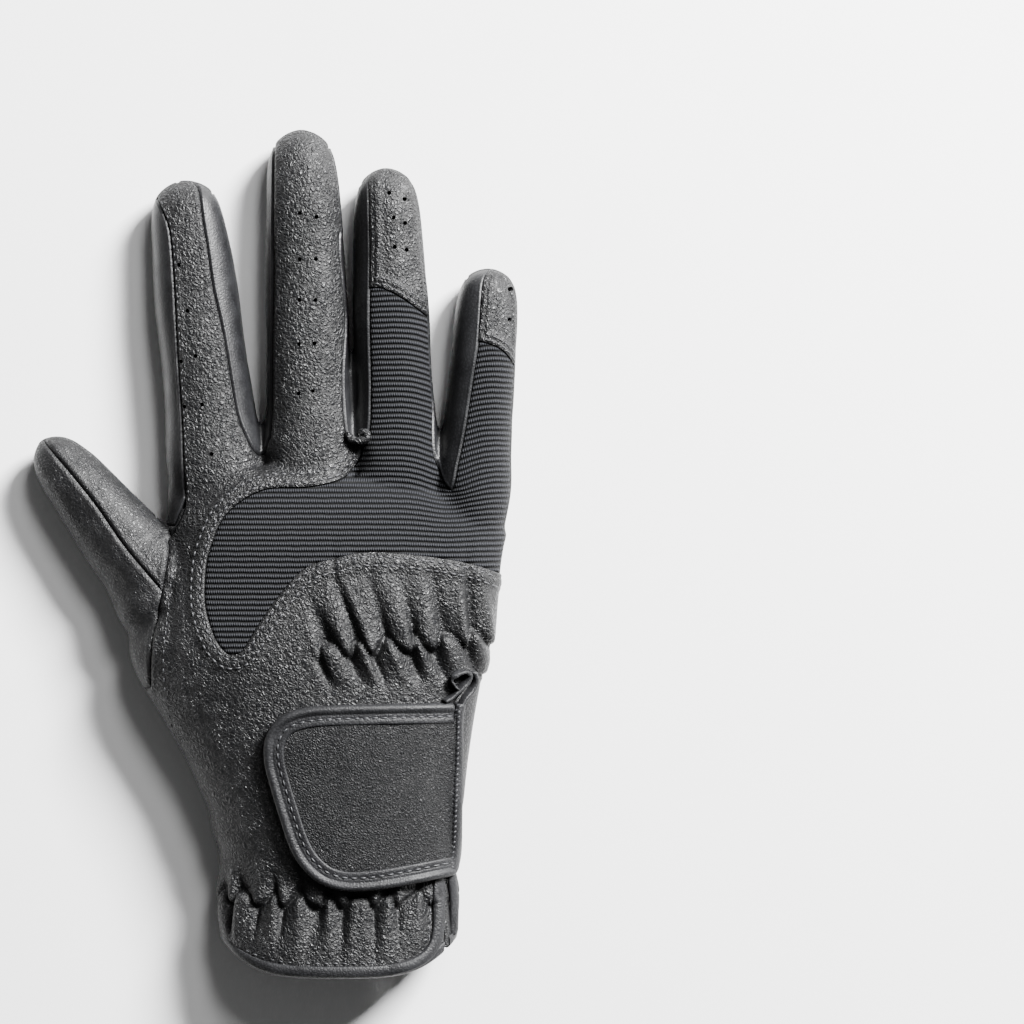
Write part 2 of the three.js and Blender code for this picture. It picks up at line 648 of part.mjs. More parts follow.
// Hem binding: a tape round the hem and up the thumb side of the vent, thicker than the leather that it holds.
const ventLine = drawn(VENT);
const ventFoot = ventLine.slice(5 * SPLINE_STEPS);
const beside = (line, distance) => line.map((p) => new THREE.Vector2(p.x + distance, p.y));
const ventBand = (from, to) =>
  prism([...beside(ventFoot, from), ...beside(ventFoot, to).reverse()], SEAM_HEIGHT);
const tapeWall = plainHand(TAPE_LIFT, false, LAYER_PALM)
  .subtract(plainHand(-LEATHER - TAPE_LIFT, true, LAYER_PALM))
  .subtract(table);
const hemTape = hemSlice(TAPE_LIFT, 0, TAPE_WIDTH)
  .subtract(hemSlice(-LEATHER - TAPE_LIFT, -1, TAPE_WIDTH + 1))
  .subtract(table);
const tabOutline = drawn(TAB_OUTLINE);
const besideTab = prism(grow(tabOutline, SEAM_GAP), SEAM_HEIGHT);
pieces.hem_binding = largest(
  tapeWall
    .intersect(ventBand(-TAPE_WIDTH, 0))
    .add(hemTape)
    .subtract(ventBand(0, 2 * SEAM_GAP))
    .subtract(besideTab),
);
wall = wall.subtract(ventBand(-TAPE_WIDTH - SEAM_GAP, SEAM_GAP));

// The leather caps on the ring and little fingertips.
for (const name of ["ring", "little"]) {
  const finger = fingers[name];
  const line = CAP_LINES[name].map((p) => finger.at(p.along, p.side));
  const { leftBase, leftTip } = BACK_SEAMS[name];
  const strip = prism(fingerStrip(finger, BACK_SEAMS[name]), SEAM_HEIGHT);
  const past = [finger.at(1.15, 1.8), finger.at(1.15, Math.min(leftBase, leftTip) - 1)];
  const cap = [...line, ...past];
  pieces[`${name}_tip`] = largest(wall.intersect(strip).intersect(prism(cap, SEAM_HEIGHT)));
  const kerf = prism(grow(fingerStrip(finger, BACK_SEAMS[name]), SEAM_GAP), SEAM_HEIGHT - SEAM_GAP);
  wall = wall.subtract(kerf.intersect(prism(grow(cap, SEAM_GAP), SEAM_HEIGHT - SEAM_GAP)));
}

const backEdge = knuckleEdge(BACK_SEAMS);
const insetLine = drawn(KNUCKLE_INSET);
cutPanel("stretch_panel", [
  { outline: fingerStrip(fingers.ring, BACK_SEAMS.ring), from: SEAM_HEIGHT },
  { outline: fingerStrip(fingers.little, BACK_SEAMS.little), from: SEAM_HEIGHT },
  {
    outline: [...insetLine, corner(0.65, 0.75), corner(0.65, 0.9), ...backEdge.slice(0, 6)],
    from: SEAM_HEIGHT,
  },
]);
cutPanel("back_leather", [
  { outline: fingerStrip(fingers.index, BACK_SEAMS.index), from: SEAM_HEIGHT },
  { outline: fingerStrip(fingers.middle, BACK_SEAMS.middle), from: SEAM_HEIGHT },
  {
    outline: [
      ...backEdge.slice(7),
      ...drawn(INDEX_SIDE_FOOT),
      ...drawn(THUMB_BACK_SEAM).slice(1),
      corner(-0.66, 0.5),
      corner(-0.66, -0.1),
      corner(0.322, -0.1),
      ...ventLine.slice().reverse(),
      corner(0.66, 0.58),
      corner(0.66, 0.78),
      corner(0.3, 0.83),
    ],
    from: SEAM_HEIGHT,
  },
]);
cutPanel("thumb_back", [
  {
    outline: [thumb.at(0.1, 0.08), thumb.at(0.1, 1.6), thumb.at(1.1, 1.6), thumb.at(1.1, 0.08), thumb.at(0.6, 0.08)],
    from: SEAM_HEIGHT,
  },
]);

const palmEdge = knuckleEdge(PALM_SEAMS);
cutPanel("palm_leather", [
  ...FINGERS.map(({ name }) => ({
    outline: fingerStrip(fingers[name], PALM_SEAMS[name]),
    to: SEAM_HEIGHT,
  })),
  {
    outline: [
      ...palmEdge,
      ...drawn(THUMB_POCKET).slice(0, SPLINE_STEPS + 1),
      ...drawn(THUMB_PALM_SEAM),
      corner(-0.66, 0.285),
      corner(-0.66, -0.1),
      corner(0.66, -0.1),
      corner(0.66, 0.9),
    ],
    to: SEAM_HEIGHT,
  },
  { outline: [...ventLine, corner(0.322, -0.1), corner(0.7, -0.1), corner(0.7, 0.575)] },
]);
cutPanel("index_side", [
  {
    outline: [
      corner(-0.475, 0.86),
      fingers.index.at(0.02, -0.12),
      fingers.index.at(1.12, -0.12),
      fingers.index.at(1.12, -2),
      fingers.index.at(0, -1.5),
      corner(-0.53, 0.86),
    ],
  },
  {
    outline: [...drawn(THUMB_POCKET), corner(-0.53, 0.86), fingers.index.at(0, -1.5), fingers.index.at(0.02, -0.12)],
    to: SEAM_HEIGHT,
  },
]);
cutPanel("thumb_front", [
  { outline: [corner(0, 0.25), corner(0, 0.83), corner(-0.5, 0.9), corner(-1.1, 1.2), corner(-1.1, 0.25)] },
]);
for (const [i, crotch] of CROTCHES.entries()) {
  const [left, right] = [fingers[FINGERS[i].name], fingers[FINGERS[i + 1].name]];
  cutPanel(`fourchette_${crotch.name}`, [
    { outline: [left.at(-0.15, 0), right.at(-0.15, 0), right.at(1.1, 0), left.at(1.1, 0)] },
  ]);
}

// Ventilation holes through the backs of the fingers.
for (const row of HOLES) {
  const finger = fingers[row.finger];
  const name = { index: "back_leather", middle: "back_leather", ring: "ring_tip", little: "little_tip" }[row.finger];
  for (const along of row.alongs) {
    for (const side of row.sides) {
      const { x, y } = finger.at(along, side);
      const drill = new THREE.CylinderGeometry(HOLE_WIDTH / 2, HOLE_WIDTH / 2, FAR, HOLE_SIDES)
        .rotateX(Math.PI / 2)
        .translate(x, y, SEAM_HEIGHT + FAR / 2);
      pieces[name] = pieces[name].subtract(solidOf(drill));
    }
  }
}

// The closure tab lies on the back, bound on three sides; its fourth side meets the vent's edge.
const overBack = (from, to, fineness) =>
  plainHand(to, false, fineness).subtract(plainHand(from, false, fineness));
const tabInner = grow(tabOutline, -TAPE_WIDTH);
tabInner[0].x = tabOutline[0].x;
tabInner[tabInner.length - 1].x = tabOutline[tabOutline.length - 1].x;
const tabCore = prism(tabInner, SEAM_HEIGHT);
const tabFrom = SEAM_GAP;
pieces.closure_tab = largest(
  overBack(tabFrom, tabFrom + TAB_THICKNESS, LAYER_PALM).intersect(tabCore),
);
const tapeRegion = prism(tabOutline, SEAM_HEIGHT).subtract(
  prism([
    tabInner[0].clone().add(new THREE.Vector2(FAR, SEAM_GAP)),
    ...grow(tabInner, SEAM_GAP),
    tabInner[tabInner.length - 1].clone().add(new THREE.Vector2(FAR, -SEAM_GAP)),
  ]),
);
pieces.tab_binding = largest(
  overBack(tabFrom, tabFrom + TAB_THICKNESS + TAPE_LIFT, LAYER_PALM).intersect(tapeRegion),
);

// The vent's bound edge: a narrow ridge beside the tab, turned at its top in a flat loop of tape.
const ventRidge = ventLine.slice(0, 5 * SPLINE_STEPS + 1);
const ridgeBand = [
  ...beside(ventRidge, SEAM_GAP),
  ...beside(ventRidge, SEAM_GAP + TAPE_WIDTH).reverse(),
];
function loopOutline(inset) {
  const STEPS = 14;
  const top = ventLine[0];
  const angle = THREE.MathUtils.degToRad(LOOP_LEAN);
  const centre = new THREE.Vector2(top.x - LOOP_WIDTH / 3, top.y - LOOP_LENGTH / 4);
  return Array.from({ length: STEPS }, (_, i) => {
    const turn = (2 * Math.PI * i) / STEPS;
    const local = new THREE.Vector2(
      (LOOP_WIDTH / 2 - inset) * Math.cos(turn),
      (LOOP_LENGTH / 2 - inset) * Math.sin(turn),
    );
    return local.rotateAround(new THREE.Vector2(), -angle).add(centre);
  });
}
const loopRing = prism(loopOutline(0), SEAM_HEIGHT).subtract(prism(loopOutline(LOOP_TAPE)));
const ventRegion = prism(ridgeBand, VENT_FOOT).add(loopRing);
pieces.vent_binding = largest(
  overBack(SEAM_GAP, SEAM_GAP + TAB_THICKNESS, OUTSIDE_PALM).intersect(ventRegion).subtract(besideTab),
);

// Finishes of the scene graph.
const LEATHER_BLACK = { color: 0x2c2d31, roughness: 0.55, metalness: 0 };
const SMOOTH_BLACK = { color: 0x232629, roughness: 0.62, metalness: 0 };
const TAPE_BLACK = { color: 0x303135, roughness: 0.5, metalness: 0 };
const RIBBED_BLACK = { color: 0x1f2228, roughness: 0.9, metalness: 0 };
const FINISHES = {
  stretch_panel: RIBBED_BLACK,
  index_side: SMOOTH_BLACK,
  fourchette_index_middle: SMOOTH_BLACK,
  fourchette_middle_ring: SMOOTH_BLACK,
  fourchette_ring_little: SMOOTH_BLACK,
  tab_binding: TAPE_BLACK,
  vent_binding: TAPE_BLACK,
  hem_binding: TAPE_BLACK,
};

const glove = new THREE.Group();
for (const [name, solid] of Object.entries(pieces)) {
  const { vertProperties, triVerts } = solid.getMesh();
  const geometry = new THREE.BufferGeometry();
  geometry.setAttribute("position", new THREE.BufferAttribute(new Float32Array(vertProperties), 3));
  geometry.setIndex(new THREE.BufferAttribute(new Uint32Array(triVerts), 1));
  geometry.computeVertexNormals();
  const mesh = new THREE.Mesh(
    geometry,
    new THREE.MeshStandardMaterial(FINISHES[name] ?? LEATHER_BLACK),
  );
  mesh.name = name;
  glove.add(mesh);
}

export default glove;
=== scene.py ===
"""Dresses the right-hand riding glove: leather panels, a stretch inset, a tab and bound edges.

Every length in the tables is in millimetres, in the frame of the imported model. The meshes are
handed to Blender in metres.
"""

from __future__ import annotations

import logging
import math
from dataclasses import dataclass, field
from enum import Enum
from typing import Callable

import bpy
import numpy as np
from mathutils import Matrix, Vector
from mathutils.bvhtree import BVHTree

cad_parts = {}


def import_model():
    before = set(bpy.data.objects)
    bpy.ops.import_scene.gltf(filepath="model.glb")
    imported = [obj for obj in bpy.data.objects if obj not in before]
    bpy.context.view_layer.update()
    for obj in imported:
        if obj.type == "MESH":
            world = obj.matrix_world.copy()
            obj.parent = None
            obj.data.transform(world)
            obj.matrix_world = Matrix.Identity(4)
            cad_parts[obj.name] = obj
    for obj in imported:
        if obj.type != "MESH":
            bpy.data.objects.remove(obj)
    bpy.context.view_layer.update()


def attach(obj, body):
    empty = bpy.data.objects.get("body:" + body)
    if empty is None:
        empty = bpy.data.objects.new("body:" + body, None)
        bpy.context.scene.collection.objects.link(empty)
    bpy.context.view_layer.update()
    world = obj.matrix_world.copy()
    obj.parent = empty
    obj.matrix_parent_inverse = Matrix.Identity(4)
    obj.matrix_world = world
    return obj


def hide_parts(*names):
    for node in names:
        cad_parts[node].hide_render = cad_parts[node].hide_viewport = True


LOG = logging.getLogger("glove")
MILLIMETRE = 0.001
BODY = "root"
# Stands for far away from every seam and hole.
FAR = 50.0

Array = np.ndarray
Spot = tuple[float, float]
Colour = tuple[float, float, float]
Socket = bpy.types.NodeSocket
Material = bpy.types.Material
Piece = bpy.types.Object


class Slot(Enum):
    """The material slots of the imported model."""

    GRAIN = "grain_leather"
    SMOOTH = "smooth_leather"
    RIBBED = "ribbed_fabric"
    TAPE = "binding_tape"


class Coat(Enum):
    """The finishes that a surface of the glove can take, by their material's name."""

    BACK = "grain_leather_back"
    PALM = "grain_leather_palm"
    TAB = "grain_leather_tab"
    STRIP = "smooth_leather_strip"
    TAPE = "folded_tape"
    THREAD = "sewing_thread"
    FLESH = "flesh_side"
    RIBBED = "ribbed_stretch"


class Face(Enum):
    """The side of the glove that a row of stitches is sewn on."""

    BACK = 1
    PALM = -1


@dataclass(frozen=True)
class HandSizes:
    """The main sizes of the glove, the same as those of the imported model."""

    hand_length: float = 143.0
    palm_width: float = 93.0
    palm_thickness: float = 28.0
    finger_thickness: float = 17.0
    thumb_length: float = 67.5
    thumb_width: float = 26.0
    thumb_thickness: float = 18.0
    thumb_lean: float = 39.2
    leather: float = 1.2
    sole_press: float = 0.6
    seam_height: float = 9.0
    origin_share: float = 0.678
    equator_share: float = 0.42
    crown_power: float = 2.25
    sole_power: float = 3.2
    hem_curve_power: float = 4.0
    palm_hem_climb: float = 0.07
    palm_hem_fade: float = 0.3

    def spot(self, across: float, reach: float) -> Array:
        """Gives the place of a point given in shares of the palm's width and the hand's length."""
        along = (reach - self.origin_share) * self.hand_length
        return np.array([across * self.palm_width, along])


SIZES = HandSizes()

# Each section from the hem to the knuckles: thumb side, little side, left, right, crown, sag.
HAND_SECTIONS = np.array([
    (0.063, 0.063, 0.332, 0.353, 0.93, 0.063),
    (0.105, 0.105, 0.344, 0.36, 0.93, 0.035),
    (0.154, 0.154, 0.344, 0.358, 0.91, 0.014),
    (0.217, 0.217, 0.346, 0.35, 0.93, 0.0),
    (0.273, 0.273, 0.37, 0.363, 0.95, 0.0),
    (0.329, 0.329, 0.39, 0.378, 0.965, 0.0),
    (0.392, 0.392, 0.428, 0.387, 0.98, 0.0),
    (0.448, 0.448, 0.476, 0.4, 1.0, 0.0),
    (0.503, 0.503, 0.53, 0.415, 1.0, 0.0),
    (0.566, 0.566, 0.59, 0.434, 1.0, 0.0),
    (0.636, 0.636, 0.615, 0.465, 1.0, 0.0),
    (0.713, 0.713, 0.565, 0.48, 0.98, 0.0),
    (0.79, 0.785, 0.511, 0.494, 0.94, 0.0),
    (0.865, 0.83, 0.5, 0.505, 0.84, -0.02),
    (0.912, 0.838, 0.5, 0.51, 0.75, -0.045),
    (0.936, 0.845, 0.5, 0.51, 0.66, -0.058),
    (0.947, 0.85, 0.48, 0.49, 0.5, -0.06),
])

# Along, width and height of a finger, and of the thumb, as shares of its own sizes.
FINGER_PROFILE = np.array([
    (-0.2, 0.95, 1.0),
    (-0.06, 1.02, 1.05),
    (0.02, 1.03, 1.05),
    (0.15, 0.965, 1.03),
    (0.35, 0.92, 1.0),
    (0.6, 0.875, 0.96),
    (0.75, 0.84, 0.92),
    (0.85, 0.785, 0.86),
    (0.92, 0.69, 0.76),
    (0.965, 0.52, 0.58),
    (0.99, 0.29, 0.34),
])
THUMB_PROFILE = np.array([
    (-0.14, 0.8, 0.75),
    (0.0, 1.24, 1.0),
    (0.2, 1.12, 1.12),
    (0.39, 0.92, 1.06),
    (0.54, 0.83, 1.0),
    (0.7, 0.73, 0.93),
    (0.82, 0.64, 0.84),
    (0.91, 0.52, 0.7),
    (0.955, 0.4, 0.54),
    (0.985, 0.23, 0.33),
])


def smoothstep(low: float, high: float, value: Array) -> Array:
    """Rises smoothly from 0 at low to 1 at high.

    Args:
        low: Where the rise starts.
        high: Where it ends. It may be less than low, for a fall.
        value: The values to read.

    Returns:
        Shares between 0 and 1.
    """
    share = np.clip((value - low) / (high - low), 0.0, 1.0)
    return share * share * (3.0 - 2.0 * share)


def bell(value: Array, width: float) -> Array:
    """A rounded hump of height 1 with the given half width."""
    return np.exp(-((value / width) ** 2))


def row_at(table: Array, place: float) -> Array:
    """Reads a table between its rows, on a smooth curve through them.

    Args:
        table: One row per station.
        place: The place counted in rows.

    Returns:
        The row's values there.
    """
    index = min(int(math.floor(place)), len(table) - 2)
    rows = [table[min(max(at, 0), len(table) - 1)] for at in range(index - 1, index + 3)]
    share = place - index
    slope_from = (rows[2] - rows[0]) / 2
    slope_to = (rows[3] - rows[1]) / 2
    square, cube = share**2, share**3
    return (
        (2 * cube - 3 * square + 1) * rows[1]
        + (cube - 2 * square + share) * slope_from
        + (3 * square - 2 * cube) * rows[2]
        + (cube - square) * slope_to
    )


def row_at_along(table: Array, along: float) -> Array:
    """Reads a table at a value of its rising first column.

    Args:
        table: One row per station.
        along: The value wanted in the first column.

    Returns:
        The row's values there.
    """
    index = int(np.clip(np.searchsorted(table[:, 0], along) - 1, 0, len(table) - 2))
    low, high = table[index, 0], table[index + 1, 0]
    return row_at(table, index + min(max((along - low) / (high - low), 0.0), 1.0))


def spaced(path: Array, pitch: float, closed: bool = False) -> Array:
    """Places points evenly along a drawn line.

    Args:
        path: The line's points.
        pitch: The distance wanted between two points.
        closed: Whether the last point joins the first.

    Returns:
        The new points. A closed line doesn't repeat its first point.
    """
    line = np.vstack([path, path[:1]]) if closed else path
    steps = np.linalg.norm(np.diff(line, axis=0), axis=1)
    total = np.concatenate([[0.0], np.cumsum(steps)])
    count = max(2, int(round(total[-1] / pitch)) + 1)
    wanted = np.linspace(0.0, total[-1], count)
    points = np.stack([np.interp(wanted, total, line[:, k]) for k in range(line.shape[1])], axis=1)
    return points[:-1] if closed else points


def curve_through(spots: list[Spot] | Array, pitch: float = 0.8) -> Array:
    """Draws a smooth line through points given on the table.

    Args:
        spots: The points that the line passes.
        pitch: The distance between two points of the result.

    Returns:
        Evenly spaced points along the line.
    """
    table = np.asarray(spots, float)
    dense = [row_at(table, at) for at in np.linspace(0, len(table) - 1, (len(table) - 1) * 12 + 1)]
    return spaced(np.array(dense), pitch)


def drawn(spots: tuple[Spot, ...]) -> list[Spot]:
    """Draws a seam as the corners of a region's border."""
    return [tuple(spot) for spot in curve_through(spots, 1.6)]


def beside(path: Array, distance: float) -> Array:
    """Moves a line on the table sideways.

    Args:
        path: The line's points.
        distance: How far it moves to its right, seen along the way that it runs.

    Returns:
        The moved points.
    """
    way = np.gradient(path[:, :2], axis=0)
    way /= np.linalg.norm(way, axis=1, keepdims=True)
    moved = path.copy()
    moved[:, 0] += way[:, 1] * distance
    moved[:, 1] -= way[:, 0] * distance
    return moved


@dataclass(frozen=True)
class FingerShape:
    """One finger or the thumb: a tapered tube from its root inside the hand to its rounded tip."""

    name: str
    base: tuple[float, float]
    length: float
    width: float
    thickness: float
    lean: float
    profile: Array = field(repr=False)
    around: int = 72

    @property
    def way(self) -> Array:
        """The direction from base to tip."""
        angle = math.radians(self.lean)
        return np.array([-math.sin(angle), math.cos(angle)])

    @property
    def across(self) -> Array:
        """The direction across it, towards the little finger."""
        angle = math.radians(self.lean)
        return np.array([math.cos(angle), math.sin(angle)])

    def at(self, along: float, side: float) -> Array:
        """Gives the place of a share of the length and a share of the half width.

        Args:
            along: Share of the length from the base.
            side: Share of the half width, negative towards the thumb.

        Returns:
            The point on the table.
        """
        half = self.width / 2 * row_at_along(self.profile, min(along, 0.9))[1]
        start = SIZES.spot(*self.base)
        return start + self.way * along * self.length + self.across * side * half

    def rings(self) -> list[Array]:
        """Builds the tube's rings of points.

        Returns:
            The rings from root to tip.
        """
        rows = np.vstack([self.profile, [1.0, 0.06, 0.12]])
        alongs = np.concatenate([np.linspace(rows[0, 0], 0.9, 40), np.linspace(0.91, 1.0, 14)])
        start = SIZES.spot(*self.base)
        rings = []
        for along in alongs:
            width, height = row_at_along(rows, along)[1:]
            lift = max(0.0, 1 - height) * 0.4 * self.thickness
            top = lift + height * self.thickness
            half, bottom = width * self.width / 2, lift - SIZES.sole_press
            ring = superellipse_ring(half, top, bottom, self.around)
            flat = start + self.way * along * self.length + np.outer(ring[:, 0], self.across)
            rings.append(np.column_stack([flat, ring[:, 1]]))
        return rings


def superellipse_ring(half_width: float, top: float, bottom: float, count: int) -> Array:
    """Draws the glove's cross section: a crowned upper half over a squarer, flatter lower half.

    Args:
        half_width: Half of its width.
        top: Its highest point.
        bottom: Its lowest point.
        count: How many points it has.

    Returns:
        Pairs of a sideways and an upright distance, anticlockwise from the right-hand end.
    """
    equator = bottom + SIZES.equator_share * (top - bottom)
    angle = np.linspace(0, 2 * math.pi, count, endpoint=False)
    cosine, sine = np.cos(angle), np.sin(angle)
    power = np.where(sine >= 0, SIZES.crown_power, SIZES.sole_power)
    side = np.sign(cosine) * np.abs(cosine) ** (2 / power)
    upright = np.sign(sine) * np.abs(sine) ** (2 / power)
    height = np.where(sine >= 0, top - equator, equator - bottom)
    return np.column_stack([side * half_width, equator + upright * height])


# Name, base in shares of the hand, length, width as a share of the palm's width, and lean.
FINGER_TABLE = (
    ("index", (-0.36, 0.992), 77.0, 0.283, 6.9),
    ("middle", (-0.077, 1.006), 88.5, 0.268, 1.7),
    ("ring", (0.182, 0.986), 81.0, 0.251, 2.3),
    ("little", (0.405, 0.934), 60.6, 0.221, -4.6),
)
FINGERS = tuple(
    FingerShape(
        name, base, length, share * SIZES.palm_width, SIZES.finger_thickness, lean, FINGER_PROFILE
    )
    for name, base, length, share, lean in FINGER_TABLE
)
INDEX, MIDDLE, RING, LITTLE = FINGERS
THUMB = FingerShape(
    "thumb",
    (-0.418, 0.657),
    SIZES.thumb_length,
    SIZES.thumb_width,
    SIZES.thumb_thickness,
    SIZES.thumb_lean,
    THUMB_PROFILE,
)


@dataclass(frozen=True)
class HandShape:
    """The hand of the glove from past the hem to the knuckles."""

    around: int = 180
    rings: int = 90
    past_hem: float = 7.0

    def section(self, place: float, shift: float = 0.0) -> Array:
        """Builds one ring of points round the hand.

        Args:
            place: The section's place counted in table rows.
            shift: How far the ring is moved towards the fingers.

        Returns:
            The ring's points.
        """
        thumb_side, little_side, left, right, crown, sag = row_at(HAND_SECTIONS, place)
        low, high = -left * SIZES.palm_width, right * SIZES.palm_width
        half = (high - low) / 2
        top, bottom = crown * SIZES.palm_thickness, -SIZES.sole_press
        ring = superellipse_ring(half, top, bottom, self.around)
        share = ring[:, 0] / half
        equator = bottom + SIZES.equator_share * (top - bottom)
        under = np.clip((equator - ring[:, 1]) / (equator - bottom), 0, 1)
        lengthwise = thumb_side + (little_side - thumb_side) * (share + 1) / 2
        lengthwise = lengthwise - sag * (1 - np.abs(share) ** SIZES.hem_curve_power)
        fade = 1 - smoothstep(HAND_SECTIONS[0, 0], SIZES.palm_hem_fade, np.array(thumb_side))
        lengthwise = lengthwise + SIZES.palm_hem_climb * fade * smoothstep(-0.6, 0.9, share) * under
        reach = (lengthwise - SIZES.origin_share) * SIZES.hand_length + shift
        return np.column_stack([(low + high) / 2 + ring[:, 0], reach, ring[:, 1]])

    def all_rings(self) -> list[Array]:
        """Builds the hand's rings.

        Returns:
            The rings, with one more past the hem that is trimmed off later.
        """
        last = len(HAND_SECTIONS) - 1
        inner = [self.section(last * i / self.rings) for i in range(self.rings + 1)]
        return [self.section(0.0, -self.past_hem), *inner]

    def above_hem(self, points: Array) -> Array:
        """Gives how far points of the cuff lie above the hem.

        Args:
            points: Places on the glove.

        Returns:
            Distances along the hand, negative past the hem.
        """
        reach, _, left, right, crown, sag = HAND_SECTIONS[0]
        low, high = -left * SIZES.palm_width, right * SIZES.palm_width
        top = crown * SIZES.palm_thickness
        share = np.clip((points[:, 0] - (low + high) / 2) / ((high - low) / 2), -1, 1)
        equator = SIZES.equator_share * (top + SIZES.sole_press) - SIZES.sole_press
        under = np.clip((equator - points[:, 2]) / (equator + SIZES.sole_press), 0, 1)
        lengthwise = reach - sag * (1 - np.abs(share) ** SIZES.hem_curve_power)
        lengthwise = lengthwise + SIZES.palm_hem_climb * smoothstep(-0.6, 0.9, share) * under
        return points[:, 1] - (lengthwise - SIZES.origin_share) * SIZES.hand_length


HAND = HandShape()


def tube_faces(rings: int, around: int, offset: int) -> list[tuple[int, ...]]:
    """Joins rings of points to a closed tube.

    Args:
        rings: How many rings there are.
        around: How many points each has.
        offset: The first point's number.

    Returns:
        The faces as tuples of point numbers.
    """
    faces = []
    for r in range(rings - 1):
        for i in range(around):
            j = (i + 1) % around
            a, b = offset + r * around, offset + (r + 1) * around
            faces.append((a + i, a + j, b + j, b + i))
    faces.append(tuple(offset + i for i in reversed(range(around))))
    faces.append(tuple(offset + (rings - 1) * around + i for i in range(around)))
    return faces


def point_normals(points: Array, faces: Array) -> Array:
    """Gives each point's smooth normal.

    Args:
        points: The mesh's points.
        faces: Its triangles.

    Returns:
        Normals of length 1.
    """
    a, b, c = points[faces[:, 0]], points[faces[:, 1]], points[faces[:, 2]]
    flat = np.cross(b - a, c - a)
    total = np.zeros_like(points)
    for corner in range(3):
        for axis in range(3):
            total[:, axis] += np.bincount(faces[:, corner], flat[:, axis], len(points))
    length = np.linalg.norm(total, axis=1, keepdims=True)
    return total / np.maximum(length, 1e-12)


def unique_edges(faces: Array) -> tuple[Array, Array]:
    """Lists a mesh's edges.

    Args:
        faces: Its triangles.

    Returns:
        The edges as pairs of point numbers, and for each triangle the numbers of its edges 0-1,
        1-2 and 2-0.
    """
    pairs = np.concatenate([faces[:, [0, 1]], faces[:, [1, 2]], faces[:, [2, 0]]])
    pairs = np.sort(pairs, axis=1)
    edges, inverse = np.unique(pairs, axis=0, return_inverse=True)
    return edges, inverse.reshape(3, len(faces)).T


def wrapped(rows: int, count: int) -> Array:
    """Joins rows of points that run side by side to a tube, open at both ends.

    Args:
        rows: How many rows go round the tube.
        count: How many points each has.

    Returns:
        The tube's triangles.
    """
    faces = []
    for r in range(rows):
        for k in range(count - 1):
            a, b = r * count + k, (r + 1) % rows * count + k
            faces += [(a, a + 1, b + 1), (a, b + 1, b)]
    return np.array(faces)


